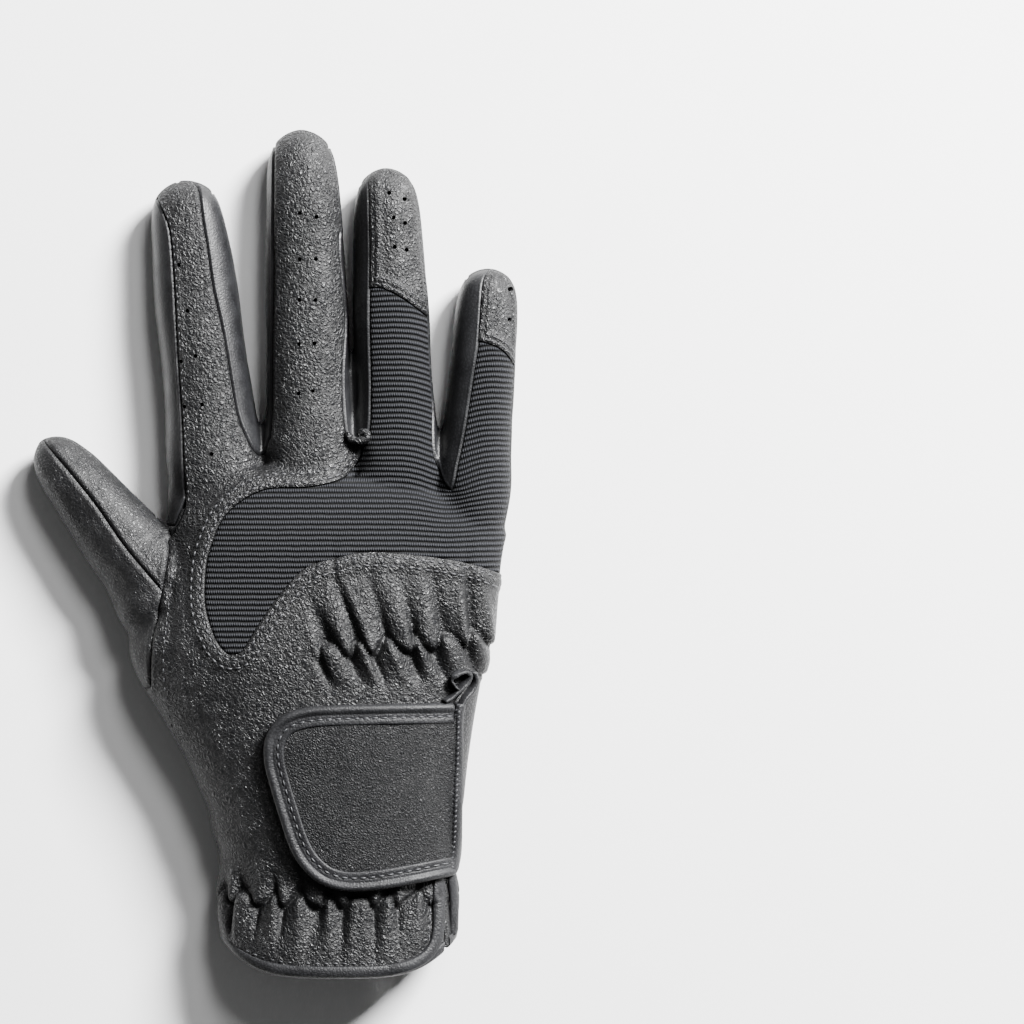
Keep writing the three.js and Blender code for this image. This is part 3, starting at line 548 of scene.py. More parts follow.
@dataclass
class Skin:
    """The glove's outside as one closed surface, before it is parted in panels."""

    points: Array
    faces: Array
    normals: Array

    @classmethod
    def remeshed(cls, voxel: float, rounds: int) -> "Skin":
        """Joins the hand, the fingers and the thumb to one even mesh.

        Args:
            voxel: The mesh's fineness.
            rounds: How often it is relaxed.

        Returns:
            The joined surface.
        """
        points: list[Array] = []
        faces: list[tuple[int, ...]] = []
        for rings in (HAND.all_rings(), *(finger.rings() for finger in (*FINGERS, THUMB))):
            faces += tube_faces(len(rings), len(rings[0]), sum(len(p) for p in points))
            points += rings
        mesh = bpy.data.meshes.new("form")
        mesh.from_pydata(np.vstack(points).tolist(), [], faces)
        form = bpy.data.objects.new("form", mesh)
        bpy.context.scene.collection.objects.link(form)
        remesh = form.modifiers.new("even", "REMESH")
        remesh.mode = "VOXEL"
        remesh.voxel_size = voxel
        evaluated = form.evaluated_get(bpy.context.evaluated_depsgraph_get())
        even = evaluated.to_mesh()
        even.calc_loop_triangles()
        corners = np.zeros(len(even.vertices) * 3)
        even.vertices.foreach_get("co", corners)
        triangles = np.zeros(len(even.loop_triangles) * 3, np.int32)
        even.loop_triangles.foreach_get("vertices", triangles)
        evaluated.to_mesh_clear()
        bpy.data.objects.remove(form)
        bpy.data.meshes.remove(mesh)
        skin = cls(corners.reshape(-1, 3), triangles.reshape(-1, 3), np.zeros((1, 3)))
        skin.relax(rounds)
        return skin

    def relax(self, rounds: int) -> None:
        """Evens out the surface and presses its underside flat on the table.

        Args:
            rounds: How often each point moves halfway to the middle of its neighbours.
        """
        edges, _ = unique_edges(self.faces)
        count = len(self.points)
        degree = np.bincount(edges.ravel(), minlength=count)[:, None]
        for _ in range(rounds):
            total = np.zeros_like(self.points)
            for axis in range(3):
                total[:, axis] = np.bincount(edges[:, 0], self.points[edges[:, 1], axis], count)
                total[:, axis] += np.bincount(edges[:, 1], self.points[edges[:, 0], axis], count)
            self.points = 0.5 * self.points + 0.5 * total / degree
        rest, softness = 0.3, 0.4
        above = (self.points[:, 2] - rest) / softness
        self.points[:, 2] = rest + softness * np.logaddexp(0, above)
        self.normals = point_normals(self.points, self.faces)

    def refined(self, near: Array) -> "Skin":
        """Halves the edges next to marked points.

        Args:
            near: True for each point that needs a finer mesh.

        Returns:
            The finer surface. New points lie on the curved surface, not on the flat triangles.
        """
        edges, of_face = unique_edges(self.faces)
        marked = near[edges].any(axis=1)
        fresh = np.full(len(edges), -1)
        fresh[marked] = len(self.points) + np.arange(marked.sum())
        ends = edges[marked]
        a, b = self.points[ends[:, 0]], self.points[ends[:, 1]]
        na, nb = self.normals[ends[:, 0]], self.normals[ends[:, 1]]
        middle = (a + b) / 2
        on_a = middle - na * np.sum((middle - a) * na, axis=1, keepdims=True)
        on_b = middle - nb * np.sum((middle - b) * nb, axis=1, keepdims=True)
        points = np.vstack([self.points, 0.4 * middle + 0.3 * (on_a + on_b)])
        turned = na + nb
        turned /= np.linalg.norm(turned, axis=1, keepdims=True)
        normals = np.vstack([self.normals, turned])
        faces, mids = self.faces, fresh[of_face]
        count = (mids >= 0).sum(axis=1)
        made = [faces[count == 0]]
        for turn in range(3):
            order = [turn, (turn + 1) % 3, (turn + 2) % 3]
            f, m = faces[:, order], mids[:, order]
            one = (count == 1) & (m[:, 0] >= 0)
            made.append(np.column_stack([f[one, 0], m[one, 0], f[one, 2]]))
            made.append(np.column_stack([m[one, 0], f[one, 1], f[one, 2]]))
            two = (count == 2) & (m[:, 0] >= 0) & (m[:, 1] >= 0)
            made.append(np.column_stack([m[two, 0], f[two, 1], m[two, 1]]))
            made.append(np.column_stack([f[two, 0], m[two, 0], m[two, 1]]))
            made.append(np.column_stack([f[two, 0], m[two, 1], f[two, 2]]))
        all_three = count == 3
        f, m = faces[all_three], mids[all_three]
        made.append(np.column_stack([f[:, 0], m[:, 0], m[:, 2]]))
        made.append(np.column_stack([m[:, 0], f[:, 1], m[:, 1]]))
        made.append(np.column_stack([m[:, 2], m[:, 1], f[:, 2]]))
        made.append(m)
        return Skin(points, np.vstack(made).astype(np.int64), normals)


def clip(columns: Array, faces: Array, inside: Array) -> tuple[Array, Array]:
    """Trims a surface along the line where a value passes zero.

    Args:
        columns: One row of numbers per point. They are all interpolated where an edge is cut.
        faces: The triangles.
        inside: The value at each point, positive in the part that stays.

    Returns:
        The columns and the triangles of the part that stays.
    """
    keep = inside > 0
    count = keep[faces].sum(axis=1)
    whole = faces[count == 3]
    cut = faces[(count == 1) | (count == 2)]
    few = keep[cut].sum(axis=1)
    lone = np.where((few == 1)[:, None], keep[cut], ~keep[cut]).argmax(axis=1)
    order = (lone[:, None] + np.arange(3)) % 3
    cut = np.take_along_axis(cut, order, axis=1)
    pairs = np.sort(np.concatenate([cut[:, [0, 1]], cut[:, [0, 2]]]), axis=1)
    edges, inverse = np.unique(pairs, axis=0, return_inverse=True)
    inverse = inverse.reshape(2, len(cut))
    va, vb = inside[edges[:, 0]], inside[edges[:, 1]]
    share = np.clip(va / np.where(va == vb, 1, va - vb), 0.02, 0.98)[:, None]
    fresh = columns[edges[:, 0]] * (1 - share) + columns[edges[:, 1]] * share
    first, second = len(columns) + inverse[0], len(columns) + inverse[1]
    tip = few == 1
    parts = [
        whole,
        np.column_stack([cut[tip, 0], first[tip], second[tip]]),
        np.column_stack([first[~tip], cut[~tip, 1], cut[~tip, 2]]),
        np.column_stack([first[~tip], cut[~tip, 2], second[~tip]]),
    ]
    joined = np.vstack(parts).astype(np.int64)
    used, renumbered = np.unique(joined, return_inverse=True)
    return np.vstack([columns, fresh])[used], renumbered.reshape(-1, 3)


@dataclass(frozen=True)
class Outline:
    """A region drawn on the table, between two heights."""

    corners: tuple[Spot, ...] | Array
    low: float = -math.inf
    high: float = math.inf

    def depth(self, points: Array, normals: Array) -> Array:
        """Gives how far inside the region points lie, measured along the surface.

        Args:
            points: Places on the glove.
            normals: The surface's normals there.

        Returns:
            Distances, negative outside.
        """
        corners = np.asarray(self.corners, float)
        flat = points[:, :2]
        result = np.full(len(points), -FAR)
        low, high = corners.min(axis=0) - 8, corners.max(axis=0) + 8
        close = np.where(np.all((flat > low) & (flat < high), axis=1))[0]
        starts, ends = corners, np.roll(corners, -1, axis=0)
        way = ends - starts
        length = np.maximum((way**2).sum(axis=1), 1e-12)
        for chunk in np.array_split(close, max(1, len(close) // 20000 + 1)):
            p, n = flat[chunk], normals[chunk]
            gap = p[:, None, :] - starts
            share = np.clip((gap * way).sum(axis=2) / length, 0, 1)
            off = gap - share[..., None] * way
            squares = (off**2).sum(axis=2)
            nearest = squares.argmin(axis=1)
            rows = np.arange(len(chunk))
            distance = np.sqrt(squares[rows, nearest])
            crosses = (starts[:, 1] > p[:, 1:2]) != (ends[:, 1] > p[:, 1:2])
            drop = np.where(way[:, 1] == 0, 1e-12, way[:, 1])
            at = starts[:, 0] + (p[:, 1:2] - starts[:, 1]) / drop * way[:, 0]
            inner = (crosses & (p[:, 0:1] < at)).sum(axis=1) % 2 == 1
            slope = off[rows, nearest] / np.maximum(distance, 1e-9)[:, None]
            tilt = (slope * n[:, :2]).sum(axis=1)
            spread = np.sqrt(np.clip(1 - tilt**2, 0.09, 1))
            result[chunk] = np.where(inner, distance, -distance) / spread
        level = np.sqrt(np.clip(1 - normals[:, 2] ** 2, 0.09, 1))
        if math.isfinite(self.low):
            result = np.minimum(result, (points[:, 2] - self.low) / level)
        if math.isfinite(self.high):
            result = np.minimum(result, (self.high - points[:, 2]) / level)
        return result


def share_strip(finger: FingerShape, left: Spot, right: Spot) -> Array:
    """Draws the strip of a finger between two seams, from below its base to past its tip.

    Args:
        finger: The finger.
        left: Shares of the half width at the base and at the tip, on the thumb's side.
        right: The same on the other side.

    Returns:
        The strip's corners.
    """
    alongs = (-0.06, 0.15, 0.35, 0.6, 0.85, 1.14)
    sides = []
    for first, last in (right, left):
        sides.append([finger.at(a, first + (last - first) * min(max(a, 0), 1)) for a in alongs])
    return np.array([*sides[0], *reversed(sides[1])])


# Seams on the back, drawn on the table from the photograph's left view.
INSET_LINE: tuple[Spot, ...] = (
    (6.9, 47.3), (5.5, 42.6), (1.7, 38.8), (-6.9, 36.6), (-18.3, 36.0), (-25.9, 32.2),
    (-30.5, 27.5), (-33.0, 22.0), (-34.7, 16.2), (-35.2, 7.5), (-34.4, 1.7), (-31.8, -5.2),
    (-28.3, -9.1), (-24.9, -8.3), (-23.1, -5.8), (-19.6, 0.0), (-13.8, 8.1), (-7.4, 14.6),
    (0.6, 17.1), (8.2, 18.8), (18.0, 18.5), (29.6, 17.1), (38.2, 15.4), (45.8, 12.7),
    (52.0, 10.2),
)
LITTLE_LEFT_SEAM: tuple[Spot, ...] = (
    (43.6, 101.0), (42.5, 96.6), (40.7, 92.4), (39.6, 76.7), (39.0, 72.0), (35.8, 53.1),
    (33.6, 42.0), (32.8, 37.6), (31.6, 35.6),
)
RING_RIGHT_SEAM: tuple[Spot, ...] = (
    (31.6, 35.6), (30.2, 37.0), (28.6, 41.0), (27.4, 46.0), (27.2, 51.0), (27.1, 60.0),
    (25.7, 80.0), (24.3, 100.0), (22.9, 113.0), (21.4, 120.0), (20.6, 128.0),
)
RING_LEFT_SEAM: tuple[Spot, ...] = (
    (8.9, 130.0), (9.4, 122.7), (9.6, 108.4), (9.6, 80.0), (9.6, 57.8), (8.9, 50.3), (6.9, 47.3),
)
MIDDLE_RIGHT_SEAM: tuple[Spot, ...] = (
    (3.6, 118.0), (2.0, 110.0), (1.2, 104.0), (2.6, 83.6), (2.5, 67.4), (3.0, 53.1), (4.3, 49.8),
    (6.4, 48.2),
)
MIDDLE_LEFT_SEAM: tuple[Spot, ...] = (
    (-20.7, 45.3), (-19.2, 46.6), (-18.4, 50.0), (-17.9, 53.1), (-17.2, 83.6), (-17.1, 110.6),
    (-16.8, 128.7), (-16.3, 140.0),
)
INDEX_RIGHT_SEAM: tuple[Spot, ...] = (
    (-41.6, 126.0), (-39.9, 121.3), (-37.6, 118.6), (-36.3, 110.6), (-34.7, 100.9), (-33.3, 91.3),
    (-30.8, 80.0), (-26.8, 57.8), (-23.9, 49.8), (-22.4, 46.8), (-20.7, 45.3),
)
INDEX_LEFT_SEAM: tuple[Spot, ...] = (
    (-45.9, 22.2), (-42.6, 27.5), (-41.0, 33.0), (-41.9, 48.4), (-43.5, 76.7), (-45.4, 104.5),
    (-47.9, 112.8), (-50.6, 118.4), (-54.0, 126.0),
)
THUMB_BACK_SEAM: tuple[Spot, ...] = (
    (-50.8, -18.5), (-50.0, -5.8), (-48.7, 1.9), (-47.3, 6.9), (-45.4, 18.0), (-45.9, 22.2),
)
THUMB_RIDGE_SEAM: tuple[Spot, ...] = (
    (-84.0, 53.0), (-79.5, 48.1), (-71.5, 39.0), (-64.6, 30.3), (-57.8, 20.6), (-50.9, 12.4),
    (-46.6, 7.4),
)
RING_CAP_EDGE: tuple[Spot, ...] = (
    (4.0, 91.0), (9.9, 91.4), (13.4, 91.2), (19.0, 88.3), (25.4, 83.7), (32.0, 79.0),
)
LITTLE_CAP_EDGE: tuple[Spot, ...] = (
    (34.0, 77.6), (41.4, 76.3), (46.2, 74.0), (50.0, 69.2), (54.0, 64.0),
)
VENT_LINE: tuple[Spot, ...] = (
    (36.4, -15.4), (35.2, -19.4), (32.9, -23.4), (32.5, -35.5), (31.5, -54.0), (30.1, -69.8),
    (30.3, -79.8), (30.2, -88.0), (30.0, -97.0),
)
TAB_LINE: tuple[Spot, ...] = (
    (31.6, -22.3), (22.0, -22.4), (13.1, -22.5), (2.0, -22.7), (-6.3, -23.2), (-12.2, -24.8),
    (-16.0, -27.6), (-18.3, -32.2), (-18.4, -38.1), (-17.0, -44.0), (-14.2, -53.6),
    (-11.6, -61.3), (-8.3, -67.0), (-3.6, -71.2), (1.5, -73.1), (7.0, -73.5), (13.1, -73.0),
    (20.8, -71.8), (28.0, -70.6), (31.0, -70.2),
)
THUMB_PATCH_SEAM: tuple[Spot, ...] = (
    (-26.0, 16.6), (-16.3, 8.2), (-10.7, -4.0), (-9.0, -17.9), (-10.4, -31.9), (-16.7, -45.5),
    (-27.9, -53.6), (-39.0, -56.2), (-56.0, -57.5),
)
THUMB_POCKET_SEAM: tuple[Spot, ...] = (
    (-33.0, 30.0), (-27.0, 15.0), (-29.8, 3.1), (-36.0, -3.7), (-43.2, 1.0), (-46.5, 13.2),
)
CROTCH_FEET: tuple[Spot, ...] = ((-20.1, 44.9), (5.8, 48.9), (31.4, 36.0))


class Cut:
    """Parts the glove's surface in panels, one region after another."""

    def __init__(self) -> None:
        """Draws the panels' regions in the order in which they are cut."""
        low = SIZES.seam_height
        stretch = (
            drawn(INSET_LINE)
            + [(64.0, 6.0), (64.0, 128.0), (43.6, 128.0)]
            + drawn(LITTLE_LEFT_SEAM)
            + drawn(RING_RIGHT_SEAM)[1:]
            + drawn(RING_LEFT_SEAM)[:-1]
        )
        ring_cap = drawn(RING_CAP_EDGE) + [(29.5, 79.0), (29.5, 135.0), (4.0, 135.0)]
        little_cap = drawn(LITTLE_CAP_EDGE) + [(64.0, 64.0), (64.0, 110.0), (34.0, 110.0)]
        back = (
            [(3.6, 142.0)]
            + drawn(MIDDLE_RIGHT_SEAM)
            + [(12.0, 40.0), (64.0, 12.0), (64.0, -14.0)]
            + drawn(VENT_LINE)
            + [(30.0, -112.0), (-64.0, -112.0), (-64.0, -25.0)]
            + drawn(THUMB_BACK_SEAM)
            + drawn(INDEX_LEFT_SEAM)[1:]
            + drawn(INDEX_RIGHT_SEAM)
            + drawn(MIDDLE_LEFT_SEAM)[1:]
        )
        thumb_back = drawn(THUMB_RIDGE_SEAM) + [
            (-44.8, 9.5), (-44.8, 21.5), (-46.3, 25.8), (-49.5, 31.5), (-60.0, 44.0),
            (-84.0, 68.0),
        ]
        palm_sides = {
            "index": ((-0.12, -0.12), (0.8, 0.78)),
            "middle": ((-0.76, -0.74), (0.8, 0.78)),
            "ring": ((-0.8, -0.78), (0.8, 0.78)),
            "little": ((-0.78, -0.76), (1.5, 1.5)),
        }
        palm_hand = []
        for finger, foot in zip(reversed(FINGERS), (*reversed(CROTCH_FEET), None)):
            left, right = palm_sides[finger.name]
            palm_hand += [tuple(finger.at(0.0, right[0])), tuple(finger.at(0.0, left[0]))]
            if foot is not None:
                palm_hand += [(foot[0] + 1.6, foot[1] - 1.2), (foot[0] - 1.6, foot[1] - 1.2)]
        palm_hand += drawn(THUMB_POCKET_SEAM)[:8] + drawn(THUMB_PATCH_SEAM)
        palm_hand += [(-64.0, -57.5), (-64.0, -112.0), (64.0, -112.0), (64.0, 36.0)]
        flap = drawn(VENT_LINE) + [(30.0, -112.0), (66.0, -112.0), (66.0, -14.0)]
        shares = ((0.02, -0.12), (1.12, -0.12), (1.12, -2.0), (0.0, -1.5))
        index_edge = [tuple(INDEX.at(*share)) for share in shares]
        index_top = [(-44.2, 26.0), *index_edge, (-49.3, 26.0)]
        pocket = drawn(THUMB_POCKET_SEAM) + [(-49.3, 26.0), index_edge[3], index_edge[0]]
        thumb_front = [(0.0, -61.0), (0.0, 21.7), (-46.5, 31.7), (-105.0, 75.0), (-105.0, -61.0)]
        self.regions: dict[str, list[Outline]] = {
            "ring_tip": [Outline(ring_cap, low)],
            "little_tip": [Outline(little_cap, low)],
            "stretch_panel": [Outline(stretch, low)],
            "back_leather": [Outline(back, low)],
            "thumb_back": [Outline(thumb_back, low)],
            "palm_leather": [
                *(Outline(share_strip(f, *palm_sides[f.name]), high=low) for f in FINGERS),
                Outline(palm_hand, high=low),
                Outline(flap, low - 2),
            ],
            "index_side": [Outline(index_top), Outline(pocket, high=low)],
            "thumb_front": [Outline(thumb_front)],
        }
        for left, right in zip(FINGERS, FINGERS[1:]):
            corners = [left.at(-0.15, 0), right.at(-0.15, 0), right.at(1.1, 0), left.at(1.1, 0)]
            name = f"fourchette_{left.name}_{right.name}"
            self.regions[name] = [Outline([tuple(c) for c in corners])]

    def depths(self, points: Array, normals: Array) -> dict[str, Array]:
        """Gives how far inside each panel points lie.

        Args:
            points: Places on the glove.
            normals: The surface's normals there.

        Returns:
            For each panel the distances to its border, negative outside it.
        """
        taken = np.full(len(points), -FAR)
        cap_limit = self.union("stretch_panel", points, normals)
        result = {}
        for name in self.regions:
            own = self.union(name, points, normals)
            if name.endswith("_tip"):
                own = np.minimum(own, cap_limit)
            result[name] = np.minimum(own, -taken)
            taken = np.maximum(taken, own)
        return result

    def union(self, name: str, points: Array, normals: Array) -> Array:
        """Gives how far inside a panel's region points lie, before other panels are taken off."""
        return np.max([part.depth(points, normals) for part in self.regions[name]], axis=0)


@dataclass(frozen=True)
class Fold:
    """A valley in the leather, or a ridge where its depth is negative, from one spot to another."""

    start: Spot
    end: Spot
    half_width: float
    depth: float
    fade: float = 1.0

    def height(self, flat: Array) -> Array:
        """Gives the fold's height at points of the table.

        Args:
            flat: The points.

        Returns:
            Heights, negative in a valley.
        """
        start, end = np.array(self.start), np.array(self.end)
        way = end - start
        along = ((flat - start) @ way) / (way @ way)
        held = np.clip(along, 0, 1)
        aside = np.linalg.norm(flat - start - held[:, None] * way, axis=1)
        widening = self.half_width * (1 + 0.5 * held)
        fading = 1 - self.fade * smoothstep(0.15, 1.0, held)
        return -self.depth * fading * np.exp(-((aside / widening) ** 2))


# Each fold's start, end, half width and depth, on the back and on the palm.
BACK_FOLDS: tuple[tuple[Spot, Spot, float, float], ...] = (
    ((-47.9, 1.9), (-58.5, -11.0), 1.7, 0.9),
    ((-46.5, 10.0), (-55.0, 3.5), 1.9, 0.7),
    ((-50.0, 24.0), (-55.5, 17.0), 2.2, 0.6),
    ((-57.0, 1.0), (-54.5, 9.0), 3.2, -0.6),
    ((-44.5, 8.0), (-44.2, -27.0), 1.3, 0.35),
    ((-62.0, 12.0), (-52.0, 3.0), 3.0, 0.7),
    ((-70.0, 30.0), (-64.0, 21.0), 3.0, 0.45),
    ((-38.0, -52.0), (-22.0, -58.0), 4.0, 0.8),
    ((-34.0, -62.0), (-20.0, -66.0), 3.0, 0.6),
    ((-20.6, 43.5), (-22.0, 37.0), 2.2, 0.5),
    ((7.0, 46.0), (8.5, 38.0), 2.4, 0.5),
    ((31.5, 34.0), (31.2, 24.0), 3.4, 0.9),
    ((-17.0, 47.0), (-9.0, 42.0), 3.0, -0.3),
)
PALM_FOLDS: tuple[tuple[Spot, Spot, float, float], ...] = (
    ((31.4, 36.0), (22.0, 29.0), 2.0, 1.0),
    ((31.4, 36.0), (29.5, 22.0), 2.0, 1.1),
    ((31.4, 34.0), (40.0, 27.0), 2.2, 0.8),
    ((26.5, 30.0), (25.0, 20.0), 3.0, -0.5),
    ((5.8, 48.9), (2.0, 34.0), 2.2, 1.0),
    ((5.8, 48.9), (15.0, 34.0), 2.2, 0.9),
    ((-20.1, 44.9), (-18.0, 30.0), 2.2, 1.0),
    ((-20.1, 44.9), (-10.0, 36.0), 2.4, 0.7),
    ((-24.0, 12.0), (-17.0, -10.0), 3.0, 0.9),
    ((-27.0, 4.0), (-22.0, -6.0), 1.8, 0.8),
    ((-30.0, 0.0), (-28.0, -12.0), 1.8, 0.7),
    ((28.0, -36.0), (0.0, -49.0), 4.5, 0.8),
    ((38.0, -10.0), (20.0, -2.0), 5.0, 0.5),
    ((-50.0, -20.0), (-30.0, -34.0), 5.0, 0.7),
    ((-62.0, 8.0), (-50.0, 0.0), 3.4, 0.8),
    ((-34.0, 22.0), (-33.0, 4.0), 2.4, 0.7),
)


@dataclass(frozen=True)
class Gathers:
    """Leather drawn up by a zigzag elastic: puffs above and below it, with valleys between."""

    pitch: float
    zigzag: float
    valley: float
    puff: float
    reach_up: float
    reach_down: float
    lean_up: float = 0.0
    lean_down: float = 0.0

    def height(self, along: Array, across: Array) -> Array:
        """Gives the height of the gathered leather.

        Args:
            along: The distance along the elastic.
            across: The distance up from it.

        Returns:
            Heights over the smooth leather.
        """
        uneven = 0.09 * self.pitch * np.sin(along * 0.41 + 1.3)
        uneven = uneven + 0.06 * self.pitch * np.sin(along * 0.93)
        up = np.maximum(across, 0)
        down = np.maximum(-across, 0)
        straight = along + uneven + self.lean_up * up - self.lean_down * down
        wave = np.cos(2 * math.pi * straight / self.pitch)
        varied = 1 + 0.25 * np.sin(along * 0.6 + 0.5)
        fade_up = np.exp(-((up / (self.reach_up * varied)) ** 2))
        fade_down = np.exp(-((down / (self.reach_down * varied)) ** 2))
        upper_share = smoothstep(-self.zigzag, self.zigzag, across + self.zigzag * wave * 0.9)
        upper = upper_share * self.crest(wave) * fade_up
        lower = (1 - upper_share) * self.crest(-wave) * fade_down
        channel = bell(across + self.zigzag * wave, 0.9)
        return upper + lower - 0.75 * self.valley * channel

    def crest(self, wave: Array) -> Array:
        """Shapes a wave between -1 and 1 as broad rounded puffs with narrow valleys."""
        return self.puff * np.maximum(wave, 0) ** 0.8 - self.valley * np.maximum(-wave, 0) ** 2.2


class Relief:
    """The folds, creases and soft unevenness of the leather."""

    patch: Gathers = Gathers(7.9, 2.9, 2.2, 1.25, 13.0, 10.0)
    cuff: Gathers = Gathers(8.3, 2.2, 1.6, 1.0, 5.6, 10.5, lean_up=0.08, lean_down=0.06)
    patch_line: tuple[Spot, Spot] = ((-4.5, -8.4), (45.0, -4.6))
    cuff_line: float = -75.5

    def __init__(self) -> None:
        """Lists the folds of the thumb, the crotches, the palm and the wrist."""
        self.back_folds = [Fold(*row) for row in BACK_FOLDS]
        self.palm_folds = [Fold(*row) for row in PALM_FOLDS]
        bends = ((INDEX, 0.3, 0.62), (MIDDLE, 0.3, 0.62), (RING, 0.28, 0.6), (LITTLE, 0.3, 0.62))
        for finger, *shares in bends:
            for share in shares:
                left, right = finger.at(share, -0.7), finger.at(share + 0.02, 0.7)
                self.palm_folds.append(Fold(tuple(left), tuple(right), 1.9, 0.45, 0.4))
        random = np.random.default_rng(11)
        self.waves = [
            (random.normal(0, 1, 3) * 0.11, random.uniform(0, 6.28), 0.16 / (1 + 0.35 * k))
            for k in range(10)
        ]

    def height(self, points: Array) -> Array:
        """Gives how far the leather stands out from the plain form.

        Args:
            points: Places on the plain form.

        Returns:
            Distances along the normals.
        """
        flat = points[:, :2]
        up = smoothstep(7.0, 12.0, points[:, 2])
        total = np.zeros(len(points))
        for fold in self.back_folds:
            total += fold.height(flat) * up
        for fold in self.palm_folds:
            total += fold.height(flat) * (1 - up)
        total += self.patch_height(points) * up
        total += self.cuff_height(points)
        for way, shift, size in self.waves:
            total += size * np.sin(points @ way + shift)
        return total

    def patch_height(self, points: Array) -> Array:
        """Gives the relief of the gathers over the wrist on the back.

        Args:
            points: Places on the plain form.

        Returns:
            Heights over the smooth leather.
        """
        (x0, y0), (x1, y1) = self.patch_line
        along = points[:, 0] - x0
        across = points[:, 1] - (y0 + (y1 - y0) * along / (x1 - x0))
        upwards = np.clip(across, 0, 20) * (0.42 - 0.0075 * along)
        downwards = np.clip(-across, 0, 14) * (0.45 - 0.003 * along)
        height = self.patch.height(along + upwards - downwards, across)
        ends = smoothstep(-2.5, 3.5, along + 0.3 * upwards) * (1 - smoothstep(46.5, 52.0, along))
        under_tab = 1 - 0.8 * smoothstep(-14.5, -19.0, points[:, 1])
        return height * ends * under_tab

    def cuff_height(self, points: Array) -> Array:
        """Gives the relief of the gathers all round the cuff.

        Args:
            points: Places on the plain form.

        Returns:
            Heights over the smooth leather.
        """
        close = points[:, 1] < -58
        height = np.zeros(len(points))
        near = points[close]
        left, right = HAND_SECTIONS[1, 2:4]
        half = 0.5 * (left + right) * SIZES.palm_width
        middle = 0.5 * (right - left) * SIZES.palm_width
        centre, reach, top = 11.0, 13.0, 26.0
        turn = np.arctan2((near[:, 2] - centre) / reach, (near[:, 0] - middle) / half)
        ring = superellipse_ring(half, top, -SIZES.sole_press, 360)
        angle = np.arctan2((ring[:, 1] - centre) / reach, ring[:, 0] / half)
        order = np.argsort(angle)
        steps = np.linalg.norm(np.diff(ring[order], axis=0), axis=1)
        total = np.concatenate([[0.0], np.cumsum(steps)])
        along = np.interp(turn, angle[order], total)
        count = round(total[-1] / self.cuff.pitch)
        along = along * count * self.cuff.pitch / total[-1]
        line = self.cuff_line - 1.2 * (1 - ((near[:, 0] - middle) / half) ** 2)
        edge = smoothstep(1.5, 6.0, HAND.above_hem(near))
        palm = 1 - 0.55 * smoothstep(3.0, 0.5, near[:, 2])
        vent = bell(near[:, 0] - 30.0, 4.2) * (near[:, 2] > SIZES.seam_height)
        palm = palm * (1 - 0.9 * vent)
        height[close] = self.cuff.height(along, near[:, 1] - line) * edge * palm
        return height


@dataclass(frozen=True)
class SeamEdge:
    """How a panel's leather behaves towards its border."""

    groove: float = 0.4
    bead: float = 0.12
    welt: float = 0.0
    lap: float = 0.0
    lap_width: float = 5.0

    def height(self, depth: Array, lapped: Array | None) -> Array:
        """Gives the panel's height near its border.

        Args:
            depth: The distance inside the border.
            lapped: The distance to the panel that this one laps over, if there is one.

        Returns:
            Heights along the normal.
        """
        made = -self.groove * bell(depth, 0.42) + self.bead * bell(depth - 1.3, 0.7)
        made = made + self.welt * bell(depth - 0.6, 0.3)
        if lapped is None:
            return made
        raised = self.lap * (1 - smoothstep(self.lap_width - 1.4, self.lap_width + 1.2, lapped))
        rounded = 1 - np.exp(-((lapped / 0.5) ** 2)) * 0.8
        channel = -0.22 * bell(lapped - 1.25, 0.42) - 0.22 * bell(lapped - 3.7, 0.42)
        return made * smoothstep(1.5, 4.0, lapped) + raised * rounded + channel


class Sheet:
    """Collects the surfaces of one piece and hands them to Blender as one mesh."""

    def __init__(self) -> None:
        """Starts an empty piece."""
        self.points: list[Array] = []
        self.faces: list[Array] = []
        self.parts: list[Array] = []
        self.count = 0

    def add(self, points: Array, faces: Array, part: int) -> None:
        """Adds a surface.

        Args:
            points: Its points in millimetres.
            faces: Its triangles.
            part: The number of the finish that it takes.
        """
        self.points.append(points)
        self.faces.append(faces + self.count)
        self.parts.append(np.full(len(faces), part))
        self.count += len(points)

    def make(
        self,
        name: str,
        finishes: list[Material],
        weave: Callable[[Array], Array] | None = None,
    ) -> Piece:
        """Makes the Blender object.

        Args:
            name: The object's name.
            finishes: Its materials.
            weave: Gives the weave's coordinates at the points, for a woven piece.

        Returns:
            The object, linked to the scene.
        """
        points, faces = np.vstack(self.points), np.vstack(self.faces).astype(np.int32)
        points[:, 2] = np.maximum(points[:, 2], 0.03)
        mesh = bpy.data.meshes.new(name)
        mesh.vertices.add(len(points))
        mesh.vertices.foreach_set("co", (points * MILLIMETRE).astype(np.float32).ravel())
        mesh.loops.add(faces.size)
        mesh.loops.foreach_set("vertex_index", faces.ravel())
        mesh.polygons.add(len(faces))
        mesh.polygons.foreach_set("loop_start", np.arange(0, faces.size, 3, dtype=np.int32))
        mesh.polygons.foreach_set("material_index", np.concatenate(self.parts).astype(np.int32))
        mesh.polygons.foreach_set("use_smooth", np.ones(len(faces), bool))
        mesh.update(calc_edges=True)
        mesh.validate()
        for finish in finishes:
            mesh.materials.append(finish)
        if weave is not None:
            lay = mesh.attributes.new("weave", "FLOAT_VECTOR", "POINT")
            lay.data.foreach_set("vector", weave(points).astype(np.float32).ravel())
        piece = bpy.data.objects.new(name, mesh)
        bpy.context.scene.collection.objects.link(piece)
        return piece


